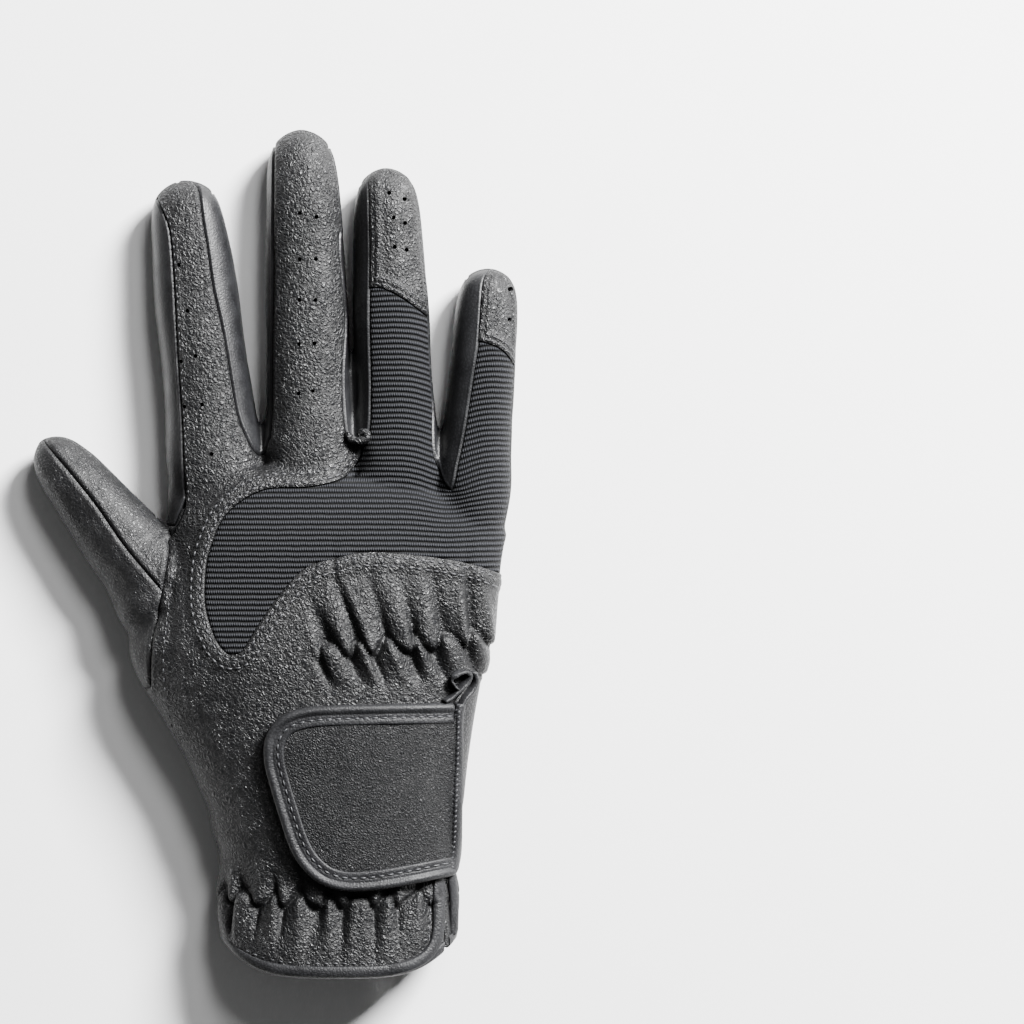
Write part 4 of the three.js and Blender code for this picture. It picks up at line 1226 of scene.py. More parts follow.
def rim(points: Array, normals: Array, faces: Array, drop: float) -> tuple[Array, Array]:
    """Turns the border of a surface in, so that the leather shows its thickness.

    Args:
        points: The surface's points.
        normals: The way out of it at each point.
        faces: Its triangles.
        drop: How far the border is turned in.

    Returns:
        The rim's points and triangles. They use the surface's own border points, repeated.
    """
    ways = np.concatenate([faces[:, [0, 1]], faces[:, [1, 2]], faces[:, [2, 0]]])
    keys = ways[:, 0].astype(np.int64) * (len(points) + 1) + ways[:, 1]
    back = ways[:, 1].astype(np.int64) * (len(points) + 1) + ways[:, 0]
    border = ways[~np.isin(keys, back)]
    used, index = np.unique(border, return_inverse=True)
    index = index.reshape(-1, 2)
    count = len(used)
    levels = (0.0, 0.35, 1.0)
    rows = [points[used] - normals[used] * drop * level for level in levels]
    made = []
    for low, high in ((0, 1), (1, 2)):
        a, b = index[:, 0] + low * count, index[:, 1] + low * count
        c, d = index[:, 0] + high * count, index[:, 1] + high * count
        made += [np.column_stack([b, a, c]), np.column_stack([b, c, d])]
    return np.vstack(rows), np.vstack(made)


class Ground:
    """A surface that stitches and tapes are laid on, found by looking straight down or up at it."""

    def __init__(self, points: Array, faces: Array) -> None:
        """Prepares the surface for looking at."""
        self.tree = BVHTree.FromPolygons(points.tolist(), faces.tolist())

    def at(self, flat: Array, face: Face = Face.BACK) -> tuple[Array, Array, Array]:
        """Finds the surface over or under points of the table.

        Args:
            flat: The points of the table.
            face: The side of the glove to look at.

        Returns:
            The places, the normals, and whether each was found.
        """
        height, way = 80.0 * face.value, Vector((0, 0, -face.value))
        places, normals, found = [], [], []
        for x, y in flat[:, :2]:
            hit, normal, _, _ = self.tree.ray_cast(Vector((x, y, height)), way)
            found.append(hit is not None)
            places.append(tuple(hit) if hit is not None else (x, y, 0.0))
            turned = normal if hit is not None else Vector((0, 0, face.value))
            normals.append(tuple(turned if turned.z * face.value > 0 else -turned))
        return np.array(places), np.array(normals), np.array(found)


@dataclass(frozen=True)
class StitchRow:
    """A row of stitches along a line drawn on the table."""

    line: Array
    face: Face = Face.BACK
    pitch: float = 2.35
    length: float = 1.75
    thickness: float = 0.26

    def sew(self, ground: Ground, sheet: Sheet, part: int) -> int:
        """Lays the stitches on a surface.

        Args:
            ground: The surface.
            sheet: The piece that gets the stitches.
            part: The number of the thread's finish.

        Returns:
            How many stitches were laid.
        """
        middles = spaced(self.line[:, :2], self.pitch)
        way = np.gradient(middles, axis=0)
        way /= np.linalg.norm(way, axis=1, keepdims=True)
        starts, _, found_start = ground.at(middles - way * self.length / 2, self.face)
        ends, _, found_end = ground.at(middles + way * self.length / 2, self.face)
        centres, normals, found = ground.at(middles, self.face)
        found = found & found_start & found_end
        longest, shortest = 2.2 * self.length, 0.3
        laid = 0
        for start, end, centre, normal, ok in zip(starts, ends, centres, normals, found):
            run = end - start
            span = np.linalg.norm(run)
            if not ok or span > longest or span < shortest:
                continue
            sheet.add(*self.stitch(centre, run / span, normal, span), part)
            laid += 1
        return laid

    def stitch(self, centre: Array, way: Array, normal: Array, span: float) -> tuple[Array, Array]:
        """Builds one stitch: a short thread whose ends dip into the leather.

        Args:
            centre: The stitch's middle.
            way: The direction that it runs in.
            normal: The way out of the leather.
            span: Its length.

        Returns:
            The stitch's points and triangles.
        """
        normal = normal - way * (normal @ way)
        normal /= np.linalg.norm(normal)
        aside = np.cross(normal, way)
        sides = 6
        turn = np.linspace(0, 2 * math.pi, sides, endpoint=False)
        stations = (
            (-1.0, 0.4, -1.5),
            (-0.72, 0.9, -0.35),
            (0.0, 1.0, 0.25),
            (0.72, 0.9, -0.35),
            (1.0, 0.4, -1.5),
        )
        rows = []
        for along, size, lift in stations:
            middle = centre + way * along * span / 2 + normal * lift * self.thickness
            radius = size * self.thickness
            circle = np.outer(np.cos(turn), aside) + np.outer(np.sin(turn), normal)
            rows.append(middle + radius * circle)
        faces = []
        for r in range(len(stations) - 1):
            for i in range(sides):
                j = (i + 1) % sides
                a, b = r * sides, (r + 1) * sides
                faces += [(a + i, b + i, b + j), (a + i, b + j, a + j)]
        return np.vstack(rows), np.array(faces)


class NodeBench:
    """Lays out the nodes of one material."""

    def __init__(self, name: str) -> None:
        """Starts a material with a shader and an output.

        Args:
            name: The material's name.
        """
        self.material = bpy.data.materials.new(name)
        self.material.use_nodes = True
        self.tree = self.material.node_tree
        self.tree.nodes.clear()
        self.shader = self.tree.nodes.new("ShaderNodeBsdfPrincipled")
        output = self.tree.nodes.new("ShaderNodeOutputMaterial")
        self.tree.links.new(self.shader.outputs["BSDF"], output.inputs["Surface"])

    def add(self, kind: str, **values: object) -> bpy.types.Node:
        """Adds a node.

        Args:
            kind: The node's type.
            **values: Its settings.

        Returns:
            The node.
        """
        node = self.tree.nodes.new(kind)
        for key, value in values.items():
            setattr(node, key, value)
        return node

    def link(self, source: Socket, target: Socket) -> None:
        """Joins two sockets."""
        self.tree.links.new(source, target)

    def maths(self, operation: str, first: object, second: object = 0.0) -> Socket:
        """Adds a sum or product of two sockets or numbers.

        Args:
            operation: The kind of sum.
            first: A socket or a number.
            second: A socket or a number.

        Returns:
            The result's socket.
        """
        node = self.add("ShaderNodeMath", operation=operation)
        for socket, value in zip(node.inputs, (first, second)):
            if isinstance(value, Socket):
                self.link(value, socket)
            else:
                socket.default_value = value
        return node.outputs[0]

    def ramp(
        self, source: Socket, low: float, high: float, to_low: float, to_high: float
    ) -> Socket:
        """Maps a value smoothly from one range to another.

        Args:
            source: The value's socket.
            low: The start of its range.
            high: The end of its range.
            to_low: The start of the new range.
            to_high: The end of the new range.

        Returns:
            The new value's socket.
        """
        node = self.add("ShaderNodeMapRange", interpolation_type="SMOOTHSTEP")
        self.link(source, node.inputs["Value"])
        ends = {"From Min": low, "From Max": high, "To Min": to_low, "To Max": to_high}
        for key, value in ends.items():
            node.inputs[key].default_value = value
        return node.outputs["Result"]

    def blend(self, share: Socket, first: Colour, second: Colour) -> Socket:
        """Blends two colours.

        Args:
            share: The socket that gives the second colour's share.
            first: The colour at 0.
            second: The colour at 1.

        Returns:
            The blended colour's socket.
        """
        node = self.add("ShaderNodeMix", data_type="RGBA")
        self.link(share, node.inputs["Factor"])
        node.inputs["A"].default_value = (*first, 1.0)
        node.inputs["B"].default_value = (*second, 1.0)
        return next(s for s in node.outputs if s.type == "RGBA")

    def place(self) -> Socket:
        """Gives the surface's own place.

        Returns:
            The socket of the place in millimetres.
        """
        spot = self.add("ShaderNodeTexCoord")
        scale = self.add("ShaderNodeVectorMath", operation="SCALE")
        self.link(spot.outputs["Object"], scale.inputs[0])
        scale.inputs["Scale"].default_value = 1 / MILLIMETRE
        return scale.outputs[0]

    def noise(self, place: Socket, size: float, detail: float = 2.0) -> bpy.types.Node:
        """Adds a noise.

        Args:
            place: The socket of the place.
            size: The size of its blotches in millimetres.
            detail: How many finer layers it has.

        Returns:
            The noise's node.
        """
        node = self.add("ShaderNodeTexNoise")
        self.link(place, node.inputs["Vector"])
        node.inputs["Scale"].default_value = 1 / size
        node.inputs["Detail"].default_value = detail
        return node

    def pebbles(self, place: Socket, size: float) -> Socket:
        """Adds a field of rounded pebbles.

        Args:
            place: The socket of the place.
            size: The pebbles' size in millimetres.

        Returns:
            The socket of the distance to the creases between them.
        """
        node = self.add("ShaderNodeTexVoronoi", feature="DISTANCE_TO_EDGE")
        self.link(place, node.inputs["Vector"])
        node.inputs["Scale"].default_value = 1 / size
        return node.outputs["Distance"]

    def bump(self, height: Socket, depth: float) -> None:
        """Gives the shader a bump.

        Args:
            height: The socket of the height, from 0 to 1.
            depth: The bump's full height in millimetres.
        """
        node = self.add("ShaderNodeBump")
        self.link(height, node.inputs["Height"])
        node.inputs["Distance"].default_value = depth * MILLIMETRE
        node.inputs["Strength"].default_value = 1.0
        self.link(node.outputs["Normal"], self.shader.inputs["Normal"])

    def set(self, **values: object) -> None:
        """Sets the shader's own sockets. An underscore in a name stands for a space."""
        for key, value in values.items():
            self.shader.inputs[key.replace("_", " ")].default_value = value


@dataclass(frozen=True)
class LeatherFinish:
    """Black leather with an irregular pebbled grain."""

    name: str
    # Colours for the grain's creases and the pebbles' tops, spread apart as painted shade and
    # painted highlight.
    dark: Colour = (0.0022, 0.0022, 0.0025)
    light: Colour = (0.0085, 0.0088, 0.0098)
    grain: float = 1.25
    depth: float = 0.3
    gloss_low: float = 0.25
    gloss_high: float = 0.35
    specular: float = 0.36

    def make(self) -> Material:
        """Builds the material.

        Returns:
            The material.
        """
        bench = NodeBench(self.name)
        place = bench.place()
        drift = bench.noise(place, 1.7 * self.grain, 2.0)
        swirl = bench.add("ShaderNodeVectorMath", operation="SCALE")
        bench.link(drift.outputs["Color"], swirl.inputs[0])
        swirl.inputs["Scale"].default_value = 1.5 * self.grain
        bent = bench.add("ShaderNodeVectorMath", operation="ADD")
        bench.link(place, bent.inputs[0])
        bench.link(swirl.outputs[0], bent.inputs[1])
        big = bench.ramp(bench.pebbles(bent.outputs[0], self.grain), 0.0, 0.34, 0.0, 1.0)
        fine = bench.pebbles(bent.outputs[0], 0.47 * self.grain)
        small = bench.ramp(fine, 0.0, 0.3, 0.0, 1.0)
        patchy = bench.noise(place, 5.0, 3.0).outputs[0]
        strength = bench.ramp(patchy, 0.3, 0.7, 0.55, 1.0)
        pores = bench.noise(place, 0.22, 2.0).outputs[0]
        big, small = bench.maths("MULTIPLY", big, 0.62), bench.maths("MULTIPLY", small, 0.3)
        grain = bench.maths("MULTIPLY", bench.maths("ADD", big, small), strength)
        height = bench.maths("ADD", grain, bench.maths("MULTIPLY", pores, 0.12))
        bench.bump(height, self.depth)
        # Painted shade and painted highlight: the base colour goes dark in the grain's creases and
        # light on the pebbles' tops.
        crease_shade_share = bench.ramp(height, 0.15, 0.95, 0.0, 1.0)
        bench.link(bench.blend(crease_shade_share, self.dark, self.light), bench.shader.inputs["Base Color"])
        cloud = bench.ramp(patchy, 0.3, 0.75, self.gloss_low, self.gloss_high)
        dull = bench.ramp(height, 0.1, 0.7, 0.3, 0.0)
        bench.link(bench.maths("ADD", cloud, dull), bench.shader.inputs["Roughness"])
        bench.set(Specular_IOR_Level=self.specular, IOR=1.5)
        return bench.material


@dataclass(frozen=True)
class RibbedFinish:
    """Stretch fabric with raised crosswise ribs, each a row of small knitted cells."""

    name: str = Coat.RIBBED.value
    # The gap colour is painted shade for the hollows between the ribs.
    gap: Colour = (0.0007, 0.0008, 0.001)
    yarn: Colour = (0.0165, 0.0172, 0.0205)
    rib: float = 1.46
    cell: float = 0.64
    depth: float = 0.8

    def make(self) -> Material:
        """Builds the material.

        Returns:
            The material.
        """
        bench = NodeBench(self.name)
        lay = bench.add("ShaderNodeAttribute", attribute_name="weave")
        wander = bench.noise(lay.outputs["Vector"], 3.5, 2.0)
        split = bench.add("ShaderNodeSeparateXYZ")
        bench.link(lay.outputs["Vector"], split.inputs[0])
        shaky = bench.maths("MULTIPLY", wander.outputs[0], 0.35)
        row = bench.maths("DIVIDE", bench.maths("ADD", split.outputs["Y"], shaky), self.rib)
        number = bench.maths("FLOOR", row)
        across = bench.maths("SUBTRACT", bench.maths("FRACT", row), 0.5)
        arch = bench.maths("COSINE", bench.maths("MULTIPLY", across, math.pi))
        rib = bench.maths("POWER", bench.maths("MAXIMUM", arch, 0.0), 1.2)
        along = bench.maths("DIVIDE", split.outputs["X"], self.cell)
        shifted = bench.maths("ADD", along, bench.maths("MULTIPLY", number, 0.5))
        swing = bench.maths("SINE", bench.maths("MULTIPLY", shifted, math.pi))
        cell = bench.maths("POWER", bench.maths("ABSOLUTE", swing), 0.6)
        fibre = bench.noise(lay.outputs["Vector"], 0.16, 3.0).outputs[0]
        raised = bench.maths("ADD", bench.maths("MULTIPLY", cell, 0.5), 0.5)
        knit = bench.maths("MULTIPLY", rib, raised)
        height = bench.maths("ADD", knit, bench.maths("MULTIPLY", fibre, 0.22))
        bench.bump(height, self.depth)
        # Painted shade: the colour runs from the yarn's own colour on the ribs' tops to the
        # near-black gap colour in the hollows between them.
        lit = bench.ramp(height, 0.3, 1.05, 0.0, 1.0)
        bench.link(bench.blend(lit, self.gap, self.yarn), bench.shader.inputs["Base Color"])
        bench.set(Roughness=0.75, Specular_IOR_Level=0.2)
        return bench.material


@dataclass(frozen=True)
class SmoothFinish:
    """A smooth finish with a fine grain: side strips, folded tape, thread or flesh side."""

    name: str
    # The darker colour lands partly in the grain's creases as painted shade and partly at random.
    dark: Colour
    light: Colour
    grain: float
    depth: float
    roughness: float
    specular: float = 0.4
    sheen: float = 0.0

    def make(self) -> Material:
        """Builds the material.

        Returns:
            The material.
        """
        bench = NodeBench(self.name)
        place = bench.place()
        fine = bench.noise(place, self.grain, 4.0).outputs[0]
        broad = bench.noise(place, 6.0, 3.0).outputs[0]
        creased = bench.ramp(bench.pebbles(place, 2.6 * self.grain), 0.0, 0.3, 0.0, 0.5)
        height = bench.maths("ADD", fine, creased)
        bench.bump(height, self.depth)
        # The colour is partly painted shade, darker in the fine grain's creases and lighter on its
        # tops, and partly random tone from the broad noise.
        near, wide = bench.maths("MULTIPLY", height, 0.5), bench.maths("MULTIPLY", broad, 0.5)
        share = bench.ramp(bench.maths("ADD", near, wide), 0.3, 0.85, 0.0, 1.0)
        bench.link(bench.blend(share, self.dark, self.light), bench.shader.inputs["Base Color"])
        gloss = bench.ramp(broad, 0.3, 0.7, self.roughness - 0.05, self.roughness + 0.07)
        bench.link(gloss, bench.shader.inputs["Roughness"])
        bench.set(Specular_IOR_Level=self.specular, Sheen_Weight=self.sheen, Sheen_Roughness=0.5)
        return bench.material


class Finishes:
    """The glove's materials."""

    def __init__(self) -> None:
        """Builds every finish once."""
        palm = {"grain": 0.95, "depth": 0.16, "gloss_low": 0.28, "gloss_high": 0.38}
        tab = palm | {"grain": 0.8, "depth": 0.27, "specular": 0.25}
        # Darkest and lightest colour, grain, depth, roughness, specular level and sheen.
        smooth = (
            (Coat.STRIP, (0.003, 0.003, 0.0034), (0.01, 0.0102, 0.0113), 0.35, 0.05, 0.42, 0.36),
            (Coat.TAPE, (0.004, 0.004, 0.0045), (0.013, 0.0132, 0.0145), 0.35, 0.09, 0.5, 0.28),
            (Coat.THREAD, (0.012, 0.012, 0.0135), (0.04, 0.0405, 0.044), 0.12, 0.03, 0.42, 0.4),
            (Coat.FLESH, (0.012, 0.012, 0.013), (0.03, 0.03, 0.032), 0.3, 0.1, 0.9, 0.2, 0.3),
        )
        finishes = [
            LeatherFinish(Coat.BACK.value),
            LeatherFinish(Coat.PALM.value, **palm),
            LeatherFinish(Coat.TAB.value, **tab),
            *(SmoothFinish(coat.value, *values) for coat, *values in smooth),
            RibbedFinish(),
        ]
        self.made = {Coat(finish.name): finish.make() for finish in finishes}

    def of(self, *coats: Coat) -> list[Material]:
        """Gives the materials of the named finishes."""
        return [self.made[coat] for coat in coats]


def weave_lay(points: Array) -> Array:
    """Gives the stretch fabric's own coordinates: along the ribs and across them.

    Args:
        points: Places on the fabric.

    Returns:
        Three columns: along the ribs, across them, and height.
    """
    x, y = points[:, 0], points[:, 1]
    crotch, level = 31.5, 36.0
    below = np.clip(level - y, 0, None)
    drawn_in = 3.2 * bell(x - crotch, 7.5)
    dip = drawn_in * np.where(y < level, np.exp(-below / 8.0), 1.0)
    fingers = smoothstep(38.0, 56.0, y)
    tilts = [math.tan(math.radians(finger.lean)) for finger in (RING, LITTLE)]
    tilt = np.where(x < crotch, *tilts)
    middle = np.where(x < crotch, 15.0, 42.0)
    across = y + dip - fingers * tilt * (x - middle)
    return np.column_stack([x, across, points[:, 2]])


@dataclass(frozen=True)
class Curl:
    """The leather's folded end at a finger crotch, rolled up to a small two-lobed knot."""

    foot: Spot = (4.6, 46.8)
    way: tuple[Spot, ...] = (
        (3.4, 51.9), (3.8, 50.5), (4.8, 49.7), (6.3, 49.3), (7.9, 49.5), (8.8, 50.4), (8.5, 51.5),
        (7.4, 51.8), (6.7, 51.1), (6.9, 50.5),
    )
    sizes: tuple[float, ...] = (0.5, 0.95, 1.25, 1.1, 1.25, 1.35, 1.25, 1.05, 0.9, 0.3)
    lift: float = 2.1

    def roll(self, leather: Array) -> tuple[Array, Array]:
        """Builds the knot.

        Args:
            leather: The points of the leather's outer face, for the height at the knot's foot.

        Returns:
            The knot's points and triangles.
        """
        nearest = int(np.argmin(np.linalg.norm(leather[:, :2] - self.foot, axis=1)))
        height = leather[nearest, 2] + self.lift
        LOG.info("knot at a height of %.1f", height)
        line = curve_through(self.way, 0.35)
        stations = np.linspace(0, 1, len(self.sizes))
        size = np.interp(np.linspace(0, 1, len(line)), stations, self.sizes)
        way = np.gradient(line, axis=0)
        way /= np.linalg.norm(way, axis=1, keepdims=True)
        aside = np.column_stack([way[:, 1], -way[:, 0], np.zeros(len(line))])
        rise = height + 0.35 * np.linspace(-1, 1, len(line))
        middle = np.column_stack([line, rise])
        sides = 14
        rows = []
        for turn in np.linspace(0, 2 * math.pi, sides, endpoint=False):
            wrinkle = 1 + 0.08 * np.sin(3 * turn + np.arange(len(line)) * 0.9)
            upright = np.array([0.0, 0.0, 1.0]) * math.sin(turn)
            rows.append(middle + (size * wrinkle)[:, None] * (aside * math.cos(turn) + upright))
        return np.vstack(rows), wrapped(sides, len(line))


@dataclass(frozen=True)
class Panel:
    """One sewn panel: its outside, its turned-in border, its flesh side and its stitches."""

    name: str
    slot: Slot
    finish: Coat
    edge: SeamEdge = SeamEdge()
    laps: str | None = None
    rows: tuple[StitchRow, ...] = ()
    under: float = 0.0
    flesh_reach: float = 32.0
    curl: Curl | None = None
    seam_gap: float = 0.1
    lining_gap: float = 0.05
    hem_tuck: float = 0.8

    def build(self, glove: "Glove") -> Piece:
        """Cuts the panel from the glove's surface and finishes it.

        Args:
            glove: The glove's surfaces and finishes.

        Returns:
            The panel's object.
        """
        sheet = Sheet()
        points, faces = self.outside(glove, sheet)
        self.flesh_side(glove, sheet)
        laid = 0
        if self.rows:
            ground = Ground(points, faces)
            laid = sum(row.sew(ground, sheet, 2) for row in self.rows)
        if self.curl:
            sheet.add(*self.curl.roll(points), 0)
        materials = glove.finishes.of(self.finish, Coat.FLESH, Coat.THREAD)
        weave = weave_lay if self.finish is Coat.RIBBED else None
        return dressed(sheet, self.name, materials, laid, weave)

    def outside(self, glove: "Glove", sheet: Sheet) -> tuple[Array, Array]:
        """Builds the panel's outer face and its border.

        Args:
            glove: The glove's surfaces.
            sheet: The piece that gets them.

        Returns:
            The outer face's points and triangles.
        """
        skin, depth = glove.skin, glove.depths[self.name]
        lapped = -glove.depths[self.laps] if self.laps else np.full(len(depth), FAR)
        inside = np.minimum(depth - self.seam_gap, glove.above_hem - self.hem_tuck)
        inside = np.minimum(inside, glove.hole_distance(skin.points, self.name))
        columns = np.column_stack([skin.points, skin.normals, depth, lapped, glove.relief])
        columns, faces = clip(columns, skin.faces, inside)
        normals = columns[:, 3:6] / np.linalg.norm(columns[:, 3:6], axis=1, keepdims=True)
        edge = self.edge.height(columns[:, 6], columns[:, 7] if self.laps else None)
        height = columns[:, 8] + edge - self.under
        points = columns[:, :3] + normals * height[:, None]
        border_points, border_faces = rim(points, normals, faces, SIZES.leather)
        sheet.add(points, faces, 0)
        sheet.add(border_points, border_faces, 0)
        return points, faces

    def flesh_side(self, glove: "Glove", sheet: Sheet) -> None:
        """Builds the panel's inner face from the coarser surface.

        Args:
            glove: The glove's surfaces.
            sheet: The piece that gets the face.
        """
        skin = glove.lining
        inside = glove.lining_depths[self.name] - self.lining_gap
        inside = np.minimum(inside, glove.lining_above_hem - self.hem_tuck)
        inside = np.minimum(inside, self.flesh_reach - skin.points[:, 1])
        if not (inside > 0).any():
            return
        columns = np.column_stack([skin.points, skin.normals, glove.lining_relief])
        columns, faces = clip(columns, skin.faces, inside)
        normals = columns[:, 3:6] / np.linalg.norm(columns[:, 3:6], axis=1, keepdims=True)
        points = columns[:, :3] + normals * (columns[:, 6] - SIZES.leather)[:, None]
        sheet.add(points, faces[:, ::-1], 1)


def dressed(
    sheet: Sheet,
    node: str,
    materials: list[Material],
    laid: int = 0,
    weave: Callable[[Array], Array] | None = None,
) -> Piece:
    """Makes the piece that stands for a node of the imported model, and ties it to the glove.

    Args:
        sheet: The piece's surfaces.
        node: The node.
        materials: Its materials.
        laid: How many stitches it has.
        weave: Gives the weave's coordinates at the points, for a woven piece.

    Returns:
        The piece.
    """
    piece = sheet.make(f"{node}_sewn", materials, weave)
    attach(piece, BODY)
    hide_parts(node)
    LOG.info("%s: %d triangles, %d stitches", node, len(piece.data.polygons), laid)
    return piece


class Glove:
    """The glove's surfaces, ready to be cut in panels."""

    voxel: float = 0.7
    rounds: int = 7
    lining_voxel: float = 1.6
    lining_rounds: int = 3
    seam_reach: float = 1.9
    hole_reaches: tuple[float, float] = (1.0, 0.5)
    hole_width: float = 1.15

    def __init__(self) -> None:
        """Joins the form, works out every panel's region and the relief."""
        self.finishes = Finishes()
        self.cut = Cut()
        self.bumps = Relief()
        skin = Skin.remeshed(self.voxel, self.rounds)
        LOG.info("form: %d points", len(skin.points))
        skin = skin.refined(self.closeness(skin) < self.seam_reach)
        for reach in self.hole_reaches:
            skin = skin.refined(self.hole_distance(skin.points, None) < reach)
        self.skin = skin
        self.depths = self.cut.depths(skin.points, skin.normals)
        self.relief = self.bumps.height(skin.points)
        self.above_hem = HAND.above_hem(skin.points)
        self.lining = Skin.remeshed(self.lining_voxel, self.lining_rounds)
        self.lining_depths = self.cut.depths(self.lining.points, self.lining.normals)
        self.lining_relief = self.bumps.height(self.lining.points)
        self.lining_above_hem = HAND.above_hem(self.lining.points)
        LOG.info("form refined: %d points, %d triangles", len(skin.points), len(skin.faces))

    def closeness(self, skin: Skin) -> Array:
        """Gives each point's distance to the nearest panel border."""
        depths = self.cut.depths(skin.points, skin.normals)
        return np.max(list(depths.values()), axis=0)

    @staticmethod
    def perforations() -> dict[str, list[Array]]:
        """Lists the ventilation holes by the panel that they pierce.

        Returns:
            For each panel the middles of its holes.
        """
        index = [(-42.9, 97.6), (-40.5, 85.0), (-38.2, 72.5), (-36.4, 59.2), (-33.7, 45.6)]
        index += [(-42.2, 71.0), (-41.4, 58.6)]
        left, right = (111.8, 99.2, 87.9, 75.8, 62.2), (110.8, 99.2, 87.9, 76.0, 63.0)
        middle = [(-9.6 - 0.02 * i * i, y) for i, y in enumerate(left)]
        middle += [(-5.1 - 0.05 * i * i, y) for i, y in enumerate(right)]
        ring = [(14.9, 117.4), (19.0, 115.8), (16.2, 110.6)]
        ring += [(19.3, 109.2), (16.5, 102.6), (19.8, 101.8)]
        little = [(48.0, 91.1), (47.9, 82.7)]
        spots = {"back_leather": index + middle, "ring_tip": ring, "little_tip": little}
        return {name: [np.array(spot) for spot in row] for name, row in spots.items()}

    def hole_distance(self, points: Array, name: str | None) -> Array:
        """Gives how far points of the back lie outside the rim of the nearest ventilation hole.

        Args:
            points: Places on the glove.
            name: The panel, or None for the holes of all panels.

        Returns:
            Distances, large on the palm side.
        """
        distance = np.full(len(points), FAR)
        for panel, spots in self.perforations().items():
            if name in (None, panel):
                for spot in spots:
                    off = np.linalg.norm(points[:, :2] - spot, axis=1) - self.hole_width / 2
                    distance = np.minimum(distance, off)
        return np.where(points[:, 2] > SIZES.seam_height, distance, FAR)


@dataclass(frozen=True)
class TapeBuild:
    """Lays a shaped tape along a line: each row of its section is a distance aside and a height."""

    section: tuple[tuple[float, float], ...]

    def lay(self, ground: Ground, line: Array, sink: float = 0.0) -> tuple[Array, Array]:
        """Builds the tape on a surface.

        Args:
            ground: The surface below it.
            line: The line on the table that the section's zero follows.
            sink: The length over which the tape's last end goes down into the leather.

        Returns:
            The tape's points and triangles.
        """
        steps = np.linalg.norm(np.diff(line, axis=0), axis=1)
        left = np.concatenate([np.cumsum(steps[::-1])[::-1], [0.0]])
        share = smoothstep(-0.01, sink + 0.01, left)[:, None] if sink else np.ones((len(line), 1))
        way = np.gradient(line, axis=0)
        way /= np.linalg.norm(way, axis=1, keepdims=True)
        aside = np.column_stack([way[:, 1], -way[:, 0]])
        base, base_normals, _ = ground.at(line)
        rows = []
        for distance, height in self.section:
            places, normals, found = ground.at(line + aside * distance)
            # Where the line runs past the surface's edge, the tape slopes down beside it.
            held = np.column_stack([line + aside * distance, base[:, 2] - 0.8 * abs(distance)])
            places = np.where(found[:, None], places, held)
            normals = np.where(found[:, None], normals, base_normals)
            rows.append(places + normals * (height * share - 0.5 * (1 - share)))
        count = len(line)
        faces = []
        for r in range(len(rows) - 1):
            for i in range(count - 1):
                a, b = r * count + i, (r + 1) * count + i
                faces += [(a, b, b + 1), (a, b + 1, a + 1)]
        for end in (0, count - 1):
            ring = [r * count + end for r in range(len(rows))]
            for k in range(1, len(ring) - 1):
                corner = (ring[0], ring[k], ring[k + 1])
                faces.append(corner if end else corner[::-1])
        return np.vstack(rows), np.array(faces)


@dataclass(frozen=True)
class WristTab:
    """The closure tab on the back of the wrist: pebbled leather bound on three sides."""

    thickness: float = 2.3
    roll: float = 2.5
    band: float = 5.6
    stitch_inset: float = 3.7

    def build(self, glove: Glove, ground: Ground) -> list[Piece]:
        """Builds the tab and its binding.

        Args:
            glove: The glove's surfaces and finishes.
            ground: The glove's outer surface.

        Returns:
            The two pieces.
        """
        line = curve_through(TAB_LINE, 0.5)
        return [self.leather(glove, line), self.binding(glove, ground, line)]

    def leather(self, glove: Glove, line: Array) -> Piece:
        """Builds the tab's leather, cut from the glove's form and lifted.

        Args:
            glove: The glove's surfaces and finishes.
            line: The tab's edge.

        Returns:
            The piece.
        """
        inner = beside(line, -(self.band - 0.5))
        right = curve_through(VENT_LINE[2:6], 1.5)
        corners = [tuple(p) for p in inner] + [tuple(p) for p in right[::-1]]
        skin = glove.skin
        depth = Outline(corners, SIZES.seam_height).depth(skin.points, skin.normals)
        columns = np.column_stack([skin.points, skin.normals, depth])
        columns, faces = clip(columns, skin.faces, depth)
        normals = columns[:, 3:6]
        sway = 0.12 * np.sin(columns[:, 0] * 0.21 + 0.8) * np.sin(columns[:, 1] * 0.17)
        points = columns[:, :3] + normals * (self.thickness - 0.15 + sway)[:, None]
        sheet = Sheet()
        sheet.add(points, faces, 0)
        sheet.add(*rim(points, normals, faces, 1.6), 0)
        under = columns[:, :3] + normals * 0.6
        sheet.add(under, faces[:, ::-1], 1)
        materials = glove.finishes.of(Coat.TAB, Coat.FLESH)
        return dressed(sheet, "closure_tab", materials)

    def binding(self, glove: Glove, ground: Ground, line: Array) -> Piece:
        """Builds the rolled binding with its flat stitched band.

        Args:
            glove: The glove's finishes.
            ground: The glove's outer surface.
            line: The tab's edge.

        Returns:
            The piece.
        """
        top = self.thickness
        section = [(0.9, 0.15), (0.25, 0.3), (0.0, 0.9), (0.02, 1.6), (0.2, top + 0.15)]
        section += [(0.6, top + 0.6), (1.1, top + 0.82), (1.6, top + 0.78), (2.1, top + 0.5)]
        section += [(self.roll, top + 0.16), (2.75, top + 0.1), (3.1, top + 0.22)]
        section += [(3.45, top + 0.12), (3.7, top + 0.06), (3.95, top + 0.12), (4.4, top + 0.24)]
        section += [(5.1, top + 0.24), (5.4, top + 0.14), (self.band, top - 0.25)]
        section += [(self.band, top - 0.8), (3.0, 0.5), (1.5, 0.2)]
        flipped = tuple((-aside, height) for aside, height in section)
        points, faces = TapeBuild(flipped).lay(ground, line)
        sheet = Sheet()
        sheet.add(points, faces, 0)
        edge = beside(line, -self.stitch_inset)
        row = StitchRow(edge, pitch=2.5, length=1.95, thickness=0.27)
        laid = row.sew(Ground(points, faces), sheet, 1)
        materials = glove.finishes.of(Coat.TAPE, Coat.THREAD)
        return dressed(sheet, "tab_binding", materials, laid)


